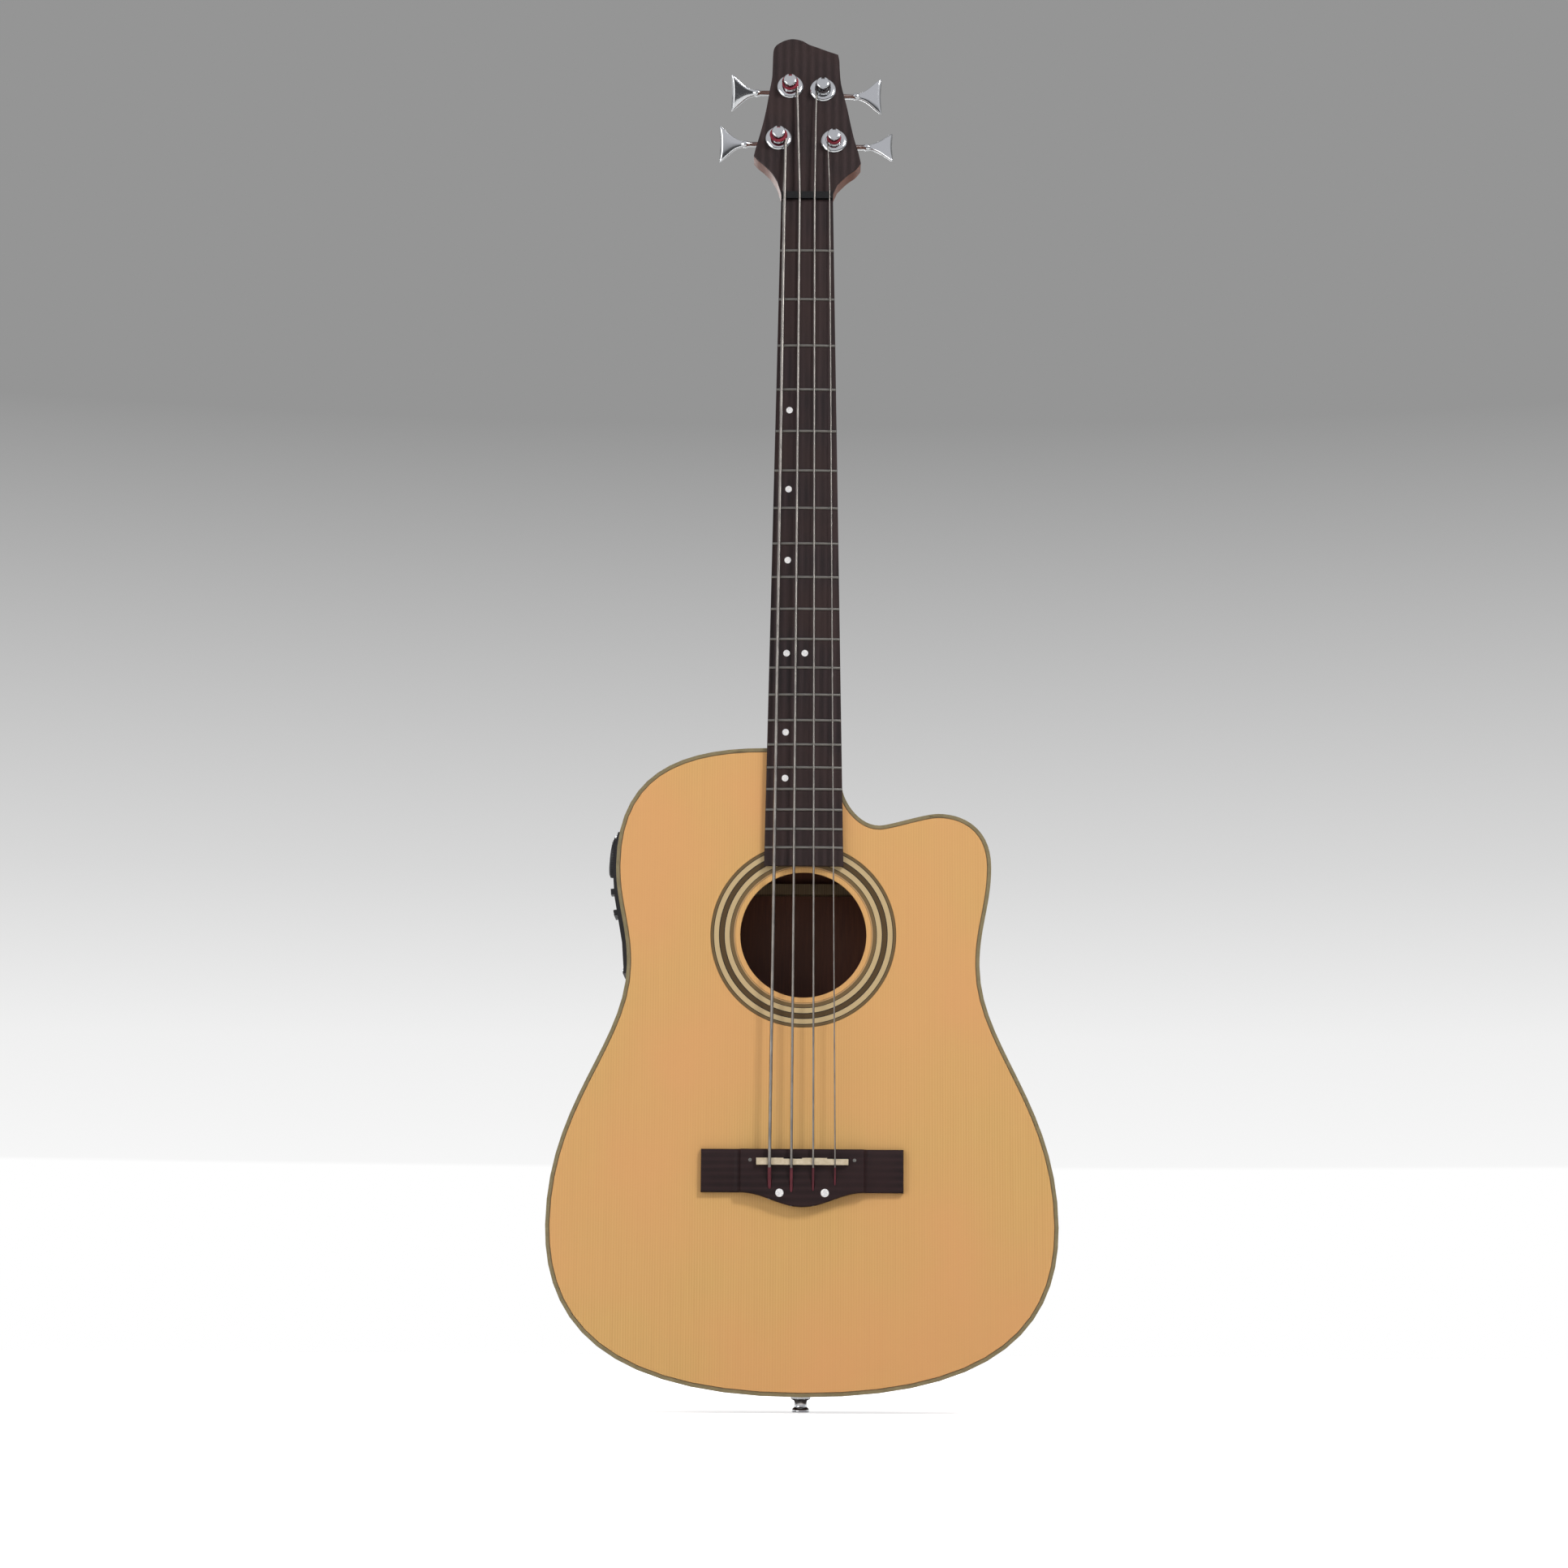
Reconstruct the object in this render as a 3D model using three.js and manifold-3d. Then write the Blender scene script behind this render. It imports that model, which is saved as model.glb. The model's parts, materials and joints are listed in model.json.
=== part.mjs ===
// Acoustic bass guitar with a cutaway body, in millimetres. X runs to the treble side, -Y to the front, Z up
// the neck. The origin is on the centreline, at the tail of the rim and halfway through its depth there.
import * as THREE from "three";
import { mergeVertices } from "three/addons/utils/BufferGeometryUtils.js";
import Module from "manifold-3d";

const wasm = await Module();
wasm.setup();

// Driving dimensions of the instrument.
const scaleLength = 812.8;
const saddleHeight = 186.3;
const bodyLength = 526;
const lowerBoutWidth = 413;
const waistWidth = 287.6;
const upperBoutWidth = 307.6;
const tailDepth = 120;
const heelDepth = 98;
const fit = 0.3;

// Walls and edges of the body.
const soundboardThickness = 3.2;
const backThickness = 3;
const sideThickness = 2.5;
const bindingWidth = 2.8;
const bindingDepth = 6;
const liningWidth = 6;
const liningDepth = 14;
const braceWidth = 9;
const braceDepth = 12;
const crossBraceReach = 109;
const bridgePlateThickness = 2.5;
const neckBlockWidth = 70;
const neckBlockLength = 60;
const tailBlockWidth = 80;
const tailBlockLength = 22;

// Soundhole and the rings let into the top round it.
const soundholeRadius = 51.6;
const soundholeSetback = 40.6;
const rosetteMargin = 4.4;
const rosetteWidth = 19.6;
const rosetteThickness = 1.5;

// Neck, fretboard and frets.
const nutWidth = 44;
const fretboardEndWidth = 65;
const fretboardThickness = 6.5;
const fretboardCamberRadius = 305;
const fretboardOverhang = 15;
const fretCount = 20;
const fretWidth = 2.4;
const fretHeight = 1.1;
const shaftDepthAtNut = 20;
const shaftDepthAtHeel = 25;
const heelRise = 62;
const heelCapWidth = 26;
const heelCapLength = 14;
const tenonWidth = 20;
const tenonLength = 16;
const tenonDepth = 62;
const trussRodRadius = 2.5;
const trussRodDepth = 9.5;
const trussNutRadius = 4.5;
const trussNutLength = 11;

// Nut and saddle.
const nutThickness = 6;
const nutSlotLift = 0.5;
const nutCrown = 1.2;
const nutStringSpread = 38.2;
const saddleLength = 74;
const saddleThickness = 5.5;
const saddleTopLift = 13.4;
const saddleSlotDepth = 6;
const saddleSetback = 0.8;
const pickupThickness = 1.6;

// Headstock.
const headLength = 150;
const headWidth = 91.6;
const headThickness = 14;
const veneerThickness = 1.6;
const headTiltDegrees = 8;

// Bridge.
const bridgeWidth = 163.2;
const bridgeWingLength = 34.7;
const bridgeBulge = 11.5;
const bridgeBlockWidth = 99;
const bridgeThickness = 9.5;
const bridgeWingThickness = 5;
const bridgeCoveWidth = 7;
const bridgeFrontMargin = 10.1;
const bridgeStringSpread = 52.6;
const bridgeBoltSpacing = 36.4;
const bridgeBoltSetback = 25;
const boltRadius = 2.2;
const boltHeadRadius = 3.1;
const boltHeadDepth = 1.6;
const boltCapDepth = 1.4;
const boltNutRadius = 5;
const boltNutThickness = 4;

// Strings, from the low one to the high one.
const stringDiameters = [2.67, 2.16, 1.65, 1.14];
const stringNames = ["e", "a", "d", "g"];
const windingTurns = [1, 1.5, 1.5, 2];
const windingGap = 0.55;
const ballRadius = 2.6;
const ballLength = 4;
const ballSeatLift = 4.6;

// Tuners.
const postWaistRadius = 4.5;
const postRadius = 4.2;
const postHeight = 11;
const postTopRadius = 5.6;
const postTopThickness = 2.4;
const postBaseThickness = 1;
const postSlotWidth = 2.9;
const ferruleRadius = 11.1;
const ferruleThickness = 2;
const bushingRadius = 6.2;
const bushingDepth = 8;
const gearRadius = 3.9;
const gearThickness = 4;
const toothDepth = 0.7;
const toothCount = 12;
const wormRadius = 1.5;
const wormLength = 9;
const wormThreads = 5;
const keyShaftRadius = 2.4;
const keyCollarRadius = 3.8;
const keyReach = 51.2;
const keyFlareLength = 23;
const keyFlareHeight = 31.5;
const keyThickness = 4.4;
const housingWidth = 18;
const housingHeight = 25;
const housingDepth = 12;
const housingWall = 2;
const collarLength = 8;

// Preamp on the bass side.
const preampLength = 118;
const preampWidth = 42;
const panelThickness = 4;
const panelFlange = 4;
const housingBoxWall = 1.6;
const preampDepth = 26;
const batteryLength = 48.5;
const batteryWidth = 26.5;
const batteryThickness = 17.5;
const batteryInset = 4.6;
const doorLength = 36;
const doorThickness = 2.3;
const doorWidth = 33;
const knobRadius = 17;
const knobHeight = 4;
const knobShaftRadius = 3;
const knobShaftLength = 12;
const sliderSpacing = 7.4;
const sliderTravel = 12;
const sliderStemWidth = 1.6;
const sliderStemLength = 3;
const sliderStemDepth = 9;
const sliderCapWidth = 5;
const sliderCapLength = 5;
const sliderCapHeight = 2.6;
const buttonLength = 5;
const buttonWidth = 12;
const buttonProud = 3.4;
const buttonDepth = 8;

// End-pin jack.
const jackFlangeRadius = 8;
const jackFlangeThickness = 2.5;
const jackWaistRadius = 5.2;
const jackTipRadius = 7;
const jackTipThickness = 3;
const jackLength = 13;
const jackBarrelRadius = 5.8;
const jackBarrelLength = 34;
const jackBoreRadius = 3.25;
const jackBoreDepth = 32;
const jackNutRadius = 8.5;
const jackNutThickness = 3;

// Levels that follow from the sizes above.
const frontY = -tailDepth / 2;
const nutZ = saddleHeight + scaleLength;
const pivotZ = nutZ + nutThickness;
const boardBackY = frontY - fit;
const boardTopY = boardBackY - fretboardThickness;
const fretTopY = boardTopY - fretHeight;
const bridgeBackY = frontY - fit;
const bridgeTopY = bridgeBackY - bridgeThickness;
const saddleTopY = frontY - saddleTopLift;
const topInnerY = frontY + soundboardThickness;
const blockBottomZ = bodyLength - sideThickness - fit - neckBlockLength;
const tailBlockTopZ = sideThickness + tailBlockLength;
const soundholeZ = blockBottomZ - soundholeSetback - soundholeRadius;
const rosetteInner = soundholeRadius + rosetteMargin;
const rosetteOuter = rosetteInner + rosetteWidth;
const bridgeFrontZ = saddleHeight + bridgeFrontMargin;
const bridgeRearZ = bridgeFrontZ - bridgeWingLength - bridgeBulge;
const headTilt = THREE.MathUtils.degToRad(headTiltDegrees);

const mix = THREE.MathUtils.lerp;
const fretZ = (number) => nutZ - scaleLength * (1 - 2 ** (-number / 12));
const fretboardEndZ = fretZ(fretCount) - fretboardOverhang;
const neckHalfAt = (z) => mix(fretboardEndWidth, nutWidth, (z - fretboardEndZ) / (nutZ - fretboardEndZ)) / 2;
const backOuterAt = (z) => frontY + mix(tailDepth, heelDepth, z / bodyLength);
const backInnerAt = (z) => backOuterAt(z) - backThickness;
const level = (y) => () => y;

const guitar = new THREE.Group();

function finish(color, roughness, metalness = 0) {
  return new THREE.MeshStandardMaterial({ color, roughness, metalness });
}

function place(name, geometry, material, parent = guitar) {
  const mesh = new THREE.Mesh(geometry, material);
  mesh.name = name;
  parent.add(mesh);
  return mesh;
}

// Booleans on closed meshes, with the seams of each mesh welded first.
function solid(geometry) {
  const bare = new THREE.BufferGeometry();
  bare.setAttribute("position", geometry.attributes.position.clone());
  if (geometry.index) bare.setIndex(geometry.index.clone());
  const merged = mergeVertices(bare);
  const vertProperties = new Float32Array(merged.attributes.position.array);
  const triVerts = new Uint32Array(merged.index.array);
  const mesh = new wasm.Mesh({ numProp: 3, vertProperties, triVerts });
  mesh.merge();
  return new wasm.Manifold(mesh);
}

function geometryOf(manifold) {
  const mesh = manifold.getMesh();
  const geometry = new THREE.BufferGeometry();
  geometry.setAttribute("position", new THREE.BufferAttribute(new Float32Array(mesh.vertProperties), 3));
  geometry.setIndex(new THREE.BufferAttribute(new Uint32Array(mesh.triVerts), 1));
  return geometry;
}

function cut(geometry, ...tools) {
  return geometryOf(tools.reduce((left, tool) => left.subtract(solid(tool)), solid(geometry)));
}

function join(geometry, ...others) {
  return geometryOf(others.reduce((sum, other) => sum.add(solid(other)), solid(geometry)));
}

function overlapOf(geometry, ...others) {
  return geometryOf(others.reduce((rest, other) => rest.intersect(solid(other)), solid(geometry)));
}

// Simple closed shapes.
function box(x0, x1, y0, y1, z0, z1) {
  const shape = new THREE.BoxGeometry(x1 - x0, y1 - y0, z1 - z0);
  return shape.translate((x0 + x1) / 2, (y0 + y1) / 2, (z0 + z1) / 2);
}

// A box from one X to another, centred on a place in Y and Z.
function slab(x0, x1, y, z, lengthY, lengthZ) {
  return box(x0, x1, y - lengthY / 2, y + lengthY / 2, z - lengthZ / 2, z + lengthZ / 2);
}

function rod(radius, from, to, sides) {
  const axis = new THREE.Vector3().subVectors(to, from);
  const middle = new THREE.Vector3().addVectors(from, to).divideScalar(2);
  const upright = new THREE.Vector3(0, 1, 0);
  const turn = new THREE.Quaternion().setFromUnitVectors(upright, axis.clone().normalize());
  const shape = new THREE.CylinderGeometry(radius, radius, axis.length(), sides);
  return shape.applyQuaternion(turn).translate(middle.x, middle.y, middle.z);
}

// A plate with its outline in the X-Z plane, between two faces whose Y may change with height.
function plate(outline, backAt, frontAt, holes = []) {
  const shape = new THREE.Shape(outline);
  shape.holes = holes.map((hole) => new THREE.Path(hole));
  const geometry = new THREE.ExtrudeGeometry(shape, { depth: 1, steps: 1, bevelEnabled: false });
  const points = geometry.attributes.position;
  for (let i = 0; i < points.count; i++) {
    const z = points.getY(i);
    points.setXYZ(i, points.getX(i), mix(backAt(z), frontAt(z), points.getZ(i)), z);
  }
  return geometry;
}

function circle(x, z, radius, sides) {
  return Array.from({ length: sides }, (_, i) => {
    const angle = (2 * Math.PI * i) / sides;
    return new THREE.Vector2(x + radius * Math.cos(angle), z + radius * Math.sin(angle));
  });
}

function rectangle(x0, x1, z0, z1) {
  return [[x0, z0], [x1, z0], [x1, z1], [x0, z1]].map(([x, z]) => new THREE.Vector2(x, z));
}

// A closed skin through rings of equal count, capped at both ends.
function loft(rings) {
  const count = rings[0].length;
  const geometry = new THREE.BufferGeometry();
  const corners = rings.flat();
  const faces = [];
  for (let row = 0; row + 1 < rings.length; row++) {
    for (let i = 0; i < count; i++) {
      const a = row * count + i;
      const b = row * count + ((i + 1) % count);
      faces.push(a, b, b + count, a, b + count, a + count);
    }
  }
  const last = (rings.length - 1) * count;
  for (let i = 1; i + 1 < count; i++) faces.push(0, i + 1, i, last, last + i, last + i + 1);
  geometry.setAttribute("position", new THREE.Float32BufferAttribute(corners.flatMap((p) => p.toArray()), 3));
  geometry.setIndex(volumeOf(corners, faces) < 0 ? faces.reverse() : faces);
  return geometry;
}

function volumeOf(corners, faces) {
  let sum = 0;
  for (let i = 0; i < faces.length; i += 3) {
    const [a, b, c] = [corners[faces[i]], corners[faces[i + 1]], corners[faces[i + 2]]];
    sum += a.dot(new THREE.Vector3().crossVectors(b, c));
  }
  return sum / 6;
}

// A tube along a list of points, its section carried along without twist.
function tube(points, radii, sides) {
  const tangents = points.map((_, i) => {
    const before = points[Math.max(i - 1, 0)];
    const after = points[Math.min(i + 1, points.length - 1)];
    return new THREE.Vector3().subVectors(after, before).normalize();
  });
  const normal = new THREE.Vector3(1, 0, 0);
  normal.addScaledVector(tangents[0], -normal.dot(tangents[0])).normalize();
  return loft(points.map((point, i) => {
    const bend = new THREE.Quaternion().setFromUnitVectors(tangents[Math.max(i - 1, 0)], tangents[i]);
    normal.applyQuaternion(bend).normalize();
    const across = new THREE.Vector3().crossVectors(tangents[i], normal);
    return Array.from({ length: sides }, (_, k) => {
      const angle = (2 * Math.PI * k) / sides;
      return point.clone()
        .addScaledVector(normal, radii[i] * Math.cos(angle))
        .addScaledVector(across, radii[i] * Math.sin(angle));
    });
  }));
}

// A turned shape from radius and height pairs, in either order.
function lathe(profile, sides) {
  const points = profile.map(([radius, height]) => new THREE.Vector2(radius, height));
  return new THREE.LatheGeometry(THREE.ShapeUtils.area(points) < 0 ? points.reverse() : points, sides);
}

// The body outline, counter-clockwise from the front, in curves between its widest and narrowest places.
const bodyLevelShares = { lower: 0.2567, waist: 0.658, upper: 0.814, horn: 0.897, scoop: 0.878, edge: 0.939 };
const curveSteps = { tail: 9, lower: 7, upper: 4, shoulder: 8, horn: 6, scoop: 3, edge: 5 };
const tailHandleShares = [0.774, 0.563];
const lowerHandleShares = [0.472, 0.313];
const upperHandleShares = [0.392, 0.383];
const shoulderHandleShares = [0.754, 0.618];
const hornHandleShares = [0.722, 0.492];
const scoopHandleShares = [0.244, 0.18];
const edgeHandleShares = [0.599, 0.283];
const hornReachShare = 0.72;
const scoopReachShare = 0.25;

function curve(points, from, handleA, handleB, to, steps) {
  const [p0, p1, p2, p3] = [from, handleA, handleB, to].map(([x, z]) => new THREE.Vector2(x, z));
  points.push(...new THREE.CubicBezierCurve(p0, p1, p2, p3).getPoints(steps).slice(1));
}

function halfOutline(side) {
  const points = [];
  const lower = [lowerBoutWidth / 2, bodyLength * bodyLevelShares.lower];
  const waist = [waistWidth / 2, bodyLength * bodyLevelShares.waist];
  const upper = [upperBoutWidth / 2, bodyLength * bodyLevelShares.upper];
  const at = (x, z) => [side * x, z];
  curve(points, [0, 0], at(lower[0] * tailHandleShares[0], 0),
    at(lower[0], mix(lower[1], 0, tailHandleShares[1])), at(...lower), curveSteps.tail);
  curve(points, at(...lower), at(lower[0], mix(lower[1], waist[1], lowerHandleShares[0])),
    at(waist[0], mix(waist[1], lower[1], lowerHandleShares[1])), at(...waist), curveSteps.lower);
  curve(points, at(...waist), at(waist[0], mix(waist[1], upper[1], upperHandleShares[0])),
    at(upper[0], mix(upper[1], waist[1], upperHandleShares[1])), at(...upper), curveSteps.upper);
  return { points, upper };
}

function bodyOutline() {
  const bass = halfOutline(-1);
  const treble = halfOutline(1);
  const neckHalf = neckHalfAt(bodyLength);
  const [upperX, upperZ] = bass.upper;
  const hornZ = bodyLength * bodyLevelShares.horn;
  const scoopZ = bodyLength * bodyLevelShares.scoop;
  const edgeZ = bodyLength * bodyLevelShares.edge;
  const edgeX = neckHalfAt(edgeZ);
  const hornX = upperX * hornReachShare;
  const scoopX = mix(edgeX, upperX, scoopReachShare);
  const shoulder = [];
  curve(shoulder, [-upperX, upperZ], [-upperX, mix(upperZ, bodyLength, shoulderHandleShares[0])],
    [-mix(neckHalf, upperX, shoulderHandleShares[1]), bodyLength], [-neckHalf, bodyLength],
    curveSteps.shoulder);
  const cutaway = [];
  curve(cutaway, [upperX, upperZ], [upperX, mix(upperZ, hornZ, hornHandleShares[0])],
    [mix(hornX, upperX, hornHandleShares[1]), hornZ], [hornX, hornZ], curveSteps.horn);
  curve(cutaway, [hornX, hornZ], [mix(hornX, scoopX, scoopHandleShares[0]), hornZ],
    [mix(scoopX, hornX, scoopHandleShares[1]), scoopZ], [scoopX, scoopZ], curveSteps.scoop);
  curve(cutaway, [scoopX, scoopZ], [mix(scoopX, edgeX, edgeHandleShares[0]), scoopZ],
    [edgeX, mix(edgeZ, scoopZ, edgeHandleShares[1])], [edgeX, edgeZ], curveSteps.edge);
  cutaway.push(new THREE.Vector2(neckHalf, bodyLength));
  const bassSide = [...shoulder.reverse(), ...bass.points.reverse()];
  return [new THREE.Vector2(0, 0), ...treble.points, ...cutaway, ...bassSide];
}

// The outline moved inwards, or outwards by a negative distance, without the points that would cross over.
const keptShare = 0.9;

function inset(outline, distance) {
  const count = outline.length;
  const inwards = outline.map((point, i) => {
    const along = outline[(i + 1) % count].clone().sub(point).normalize();
    return new THREE.Vector2(-along.y, along.x);
  });
  const moved = outline.map((point, i) => {
    const before = inwards[(i + count - 1) % count];
    const mitre = before.clone().add(inwards[i]).divideScalar(1 + before.dot(inwards[i]));
    return point.clone().addScaledVector(mitre, distance);
  });
  const reach = Math.abs(distance) * keptShare;
  const clear = (point) => outline.every((a, i) => distanceTo(point, a, outline[(i + 1) % count]) >= reach);
  return moved.filter(clear);
}

function distanceTo(point, a, b) {
  const along = b.clone().sub(a);
  const share = THREE.MathUtils.clamp(point.clone().sub(a).dot(along) / along.lengthSq(), 0, 1);
  return point.distanceTo(a.clone().addScaledVector(along, share));
}

const outline = bodyOutline();

// Facets round each kind of round piece.
const ringSides = 32;
const boreSides = 24;
const turnedSides = 18;
const shaftSides = 16;
const postSides = 14;
const smallSides = 12;
const tunnelSides = 10;
const cordSides = 6;
const hexSides = 6;

// Finishes, as the wood, metal and plastic of each piece.
const spruce = finish("#cda263", 0.35);
const mahogany = finish("#7a4a2c", 0.4);
const maple = finish("#d8c39a", 0.5);
const rosewood = finish("#3c2d2a", 0.5);
const bone = finish("#cfc2a4", 0.4);
const inlay = finish("#8a7a52", 0.4);
const chrome = finish("#c9ccd0", 0.15, 1);
const steel = finish("#9a9a98", 0.35, 1);
const bronze = finish("#a08a6c", 0.35, 1);
const blackPlastic = finish("#1c1b1c", 0.5);
const brass = finish("#b08d4a", 0.3, 1);

// Plates, rim and edging of the body.
const coreInset = bindingWidth + fit;
const liningInset = Math.max(bindingWidth, sideThickness) + fit;
const cavityInset = liningInset + liningWidth + fit;
const liningTopY = topInnerY + fit;
const liningBackAt = (z) => backInnerAt(z) - fit;
const coreOutline = inset(outline, coreInset);
const rimInner = inset(outline, sideThickness);
const cavityOutline = inset(outline, cavityInset);

function ringPlate(outer, inner, backAt, frontAt) {
  return plate(outer, backAt, frontAt, [inner]);
}

// Everything inside the linings, from the top to the back.
function cavity(backAt = liningBackAt, frontAt = level(liningTopY)) {
  return plate(cavityOutline, backAt, frontAt);
}

function addSoundboard() {
  const ring = (radius) => circle(0, soundholeZ, radius, ringSides);
  const board = plate(coreOutline, level(topInnerY), level(frontY), [ring(soundholeRadius)]);
  const channel = ringPlate(ring(rosetteOuter + fit), ring(rosetteInner - fit),
    level(frontY + rosetteThickness + fit), level(frontY - fit));
  const boltHoles = boltRods(boltRadius + fit, topInnerY + fit, frontY - fit, shaftSides);
  place("soundboard", cut(board, channel, ...boltHoles), spruce);
  const rosetteBackY = frontY + rosetteThickness;
  const rosette = ringPlate(ring(rosetteOuter), ring(rosetteInner), level(rosetteBackY), level(frontY));
  place("rosette", rosette, inlay);
}

function addRim() {
  const binding = inset(outline, bindingWidth);
  place("top_binding", ringPlate(outline, binding, level(frontY + bindingDepth), level(frontY)), inlay);
  const rabbetAt = (z) => backOuterAt(z) - bindingDepth;
  place("back_binding", ringPlate(outline, binding, backOuterAt, rabbetAt), inlay);
  const rim = ringPlate(outline, rimInner, (z) => backOuterAt(z) - bindingDepth - fit,
    level(frontY + bindingDepth + fit));
  const tenonMortise = tenon(fit);
  const jackHole = rod(jackBarrelRadius + fit, new THREE.Vector3(0, 0, -sideThickness),
    new THREE.Vector3(0, 0, 2 * sideThickness), boreSides);
  place("sides", cut(rim, tenonMortise, jackHole, preampBlock(fit)), mahogany);
  const liningInner = inset(outline, liningInset + liningWidth);
  const liningOuter = inset(outline, liningInset);
  const topLining = ringPlate(liningOuter, liningInner, level(liningTopY + liningDepth), level(liningTopY));
  place("top_lining", cut(topLining, tenonMortise), maple);
  const backLining = ringPlate(liningOuter, liningInner, liningBackAt, (z) => liningBackAt(z) - liningDepth);
  place("back_lining", backLining, maple);
  place("back", plate(coreOutline, backOuterAt, backInnerAt), mahogany);
}

// The end blocks reach the rim between the linings and stand clear of them.
function endBlock(x, z0, z1) {
  const rough = plate(rectangle(-x, x, z0, z1), liningBackAt, level(liningTopY));
  const room = plate(inset(outline, sideThickness + fit), (z) => liningBackAt(z) - liningDepth - fit,
    level(liningTopY + liningDepth + fit));
  return overlapOf(rough, join(room, cavity()));
}

function addBlocks() {
  const neckBlock = endBlock(neckBlockWidth / 2, blockBottomZ, bodyLength);
  const rodBore = rod(trussRodRadius + fit, new THREE.Vector3(0, frontY + trussRodDepth, blockBottomZ - fit),
    new THREE.Vector3(0, frontY + trussRodDepth, bodyLength), smallSides);
  place("neck_block", cut(neckBlock, tenon(fit), rodBore), maple);
  const tailBlock = endBlock(tailBlockWidth / 2, 0, tailBlockTopZ);
  const boreEnd = new THREE.Vector3(0, 0, tailBlockTopZ + fit);
  const jackBore = rod(jackBarrelRadius + fit, new THREE.Vector3(), boreEnd, boreSides);
  place("tail_block", cut(tailBlock, jackBore), maple);
}

// Bracing: bars glued inside the top and the back, trimmed to the linings.
const crossShare = 0.643;
const crossZ = mix(bridgeFrontZ, soundholeZ - soundholeRadius, crossShare);
const crossTurn = Math.atan2(crossZ - bridgeRearZ, crossBraceReach);
const upperBraceZ = (soundholeZ + soundholeRadius + blockBottomZ) / 2;
const toneShare = 0.537;
const toneReachShare = 0.42;
const toneTurnDegrees = -24;
const toneTurn = THREE.MathUtils.degToRad(toneTurnDegrees);
const backBraceLevelShares = [0.2, 0.46, 0.8];

function bar(z, length, turn) {
  const points = rectangle(-length / 2, length / 2, -braceWidth / 2, braceWidth / 2);
  return points.map((p) => p.rotateAround(new THREE.Vector2(), turn).add(new THREE.Vector2(0, z)));
}

function crossBrace() {
  return join(...[crossTurn, -crossTurn].map((turn) => topBar(bar(crossZ, 2 * bodyLength, turn))));
}

function topBar(points) {
  return plate(points, level(liningTopY + braceDepth), level(liningTopY));
}

function addBraces() {
  const span = box(-lowerBoutWidth, lowerBoutWidth, frontY, frontY + tailDepth, tailBlockTopZ + 2 * fit,
    upperBraceZ - braceWidth);
  place("x_brace", overlapOf(crossBrace(), cavity(), span), spruce);
  const keyBore = rod(trussRodRadius, new THREE.Vector3(0, frontY + trussRodDepth, upperBraceZ - braceWidth),
    new THREE.Vector3(0, frontY + trussRodDepth, upperBraceZ + braceWidth), smallSides);
  place("upper_brace", cut(overlapOf(topBar(bar(upperBraceZ, bodyLength, 0)), cavity()), keyBore), spruce);
  const toneZ = mix(tailBlockTopZ, bridgeRearZ, toneShare);
  place("tone_bar", topBar(bar(toneZ, lowerBoutWidth * toneReachShare, toneTurn)), spruce);
  const faceAt = (z) => liningBackAt(z) - braceDepth;
  backBraceLevelShares.forEach((share, i) => {
    const backBar = plate(bar(bodyLength * share, bodyLength, 0), liningBackAt, faceAt);
    place(`back_brace_${i + 1}`, overlapOf(backBar, cavity()), spruce);
  });
}

// Neck: shaft, heel and tenon, with the head leaning back from the nut.
const headFrame = new THREE.Matrix4().makeRotationX(-headTilt).setPosition(0, frontY, pivotZ);
const bellyShares = [0, 0.25, 0.5, 0.72, 0.88, 0.97, 1];
const bellyExponent = 2.4;
const capFlatShare = 0.985;
const heelShares = [0, 0.16, 0.34, 0.52, 0.7, 0.86, 1];
const heelExponent = 2.6;
const headRunShare = 0.15;

function neckSection(z, depth, heelShare, halfWidth, faceY) {
  const right = bellyShares.map((share) => {
    const round = halfWidth * Math.sqrt(1 - share ** bellyExponent * capFlatShare);
    const heel = mix(halfWidth, heelCapWidth / 2, share);
    return new THREE.Vector3(mix(round, heel, heelShare), faceY + depth * share, z);
  });
  const left = right.map((p) => new THREE.Vector3(-p.x, p.y, p.z)).reverse();
  return [...right, ...left];
}

function tenon(margin) {
  const half = tenonWidth / 2 + margin;
  const startY = frontY + bindingDepth + 2 * fit;
  return box(-half, half, startY - margin, startY + tenonDepth + margin, bodyLength - tenonLength - margin,
    bodyLength + sideThickness);
}

function neckShaft() {
  const start = bodyLength + fit;
  const heelAt = (z) => Math.max(0, 1 - Math.max(0, z - start - heelCapLength) / heelRise);
  const heelLevels = heelShares.map((share) => start + heelCapLength + heelRise * share);
  const levels = [start, ...heelLevels, nutZ, pivotZ];
  const rings = levels.map((z) => {
    const plain = mix(shaftDepthAtHeel, shaftDepthAtNut, (z - start) / (nutZ - start));
    const rise = heelAt(z) ** heelExponent;
    const depth = mix(plain, backOuterAt(bodyLength) - frontY, rise);
    return neckSection(z, depth, Math.sqrt(rise), neckHalfAt(z), frontY);
  });
  const run = headLength * headRunShare;
  const lean = frontY + run * Math.tan(headTilt) + fit;
  rings.push(neckSection(pivotZ + run, headThickness - 2 * fit, 0, neckHalfAt(nutZ) - fit, lean));
  return loft(rings);
}

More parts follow.
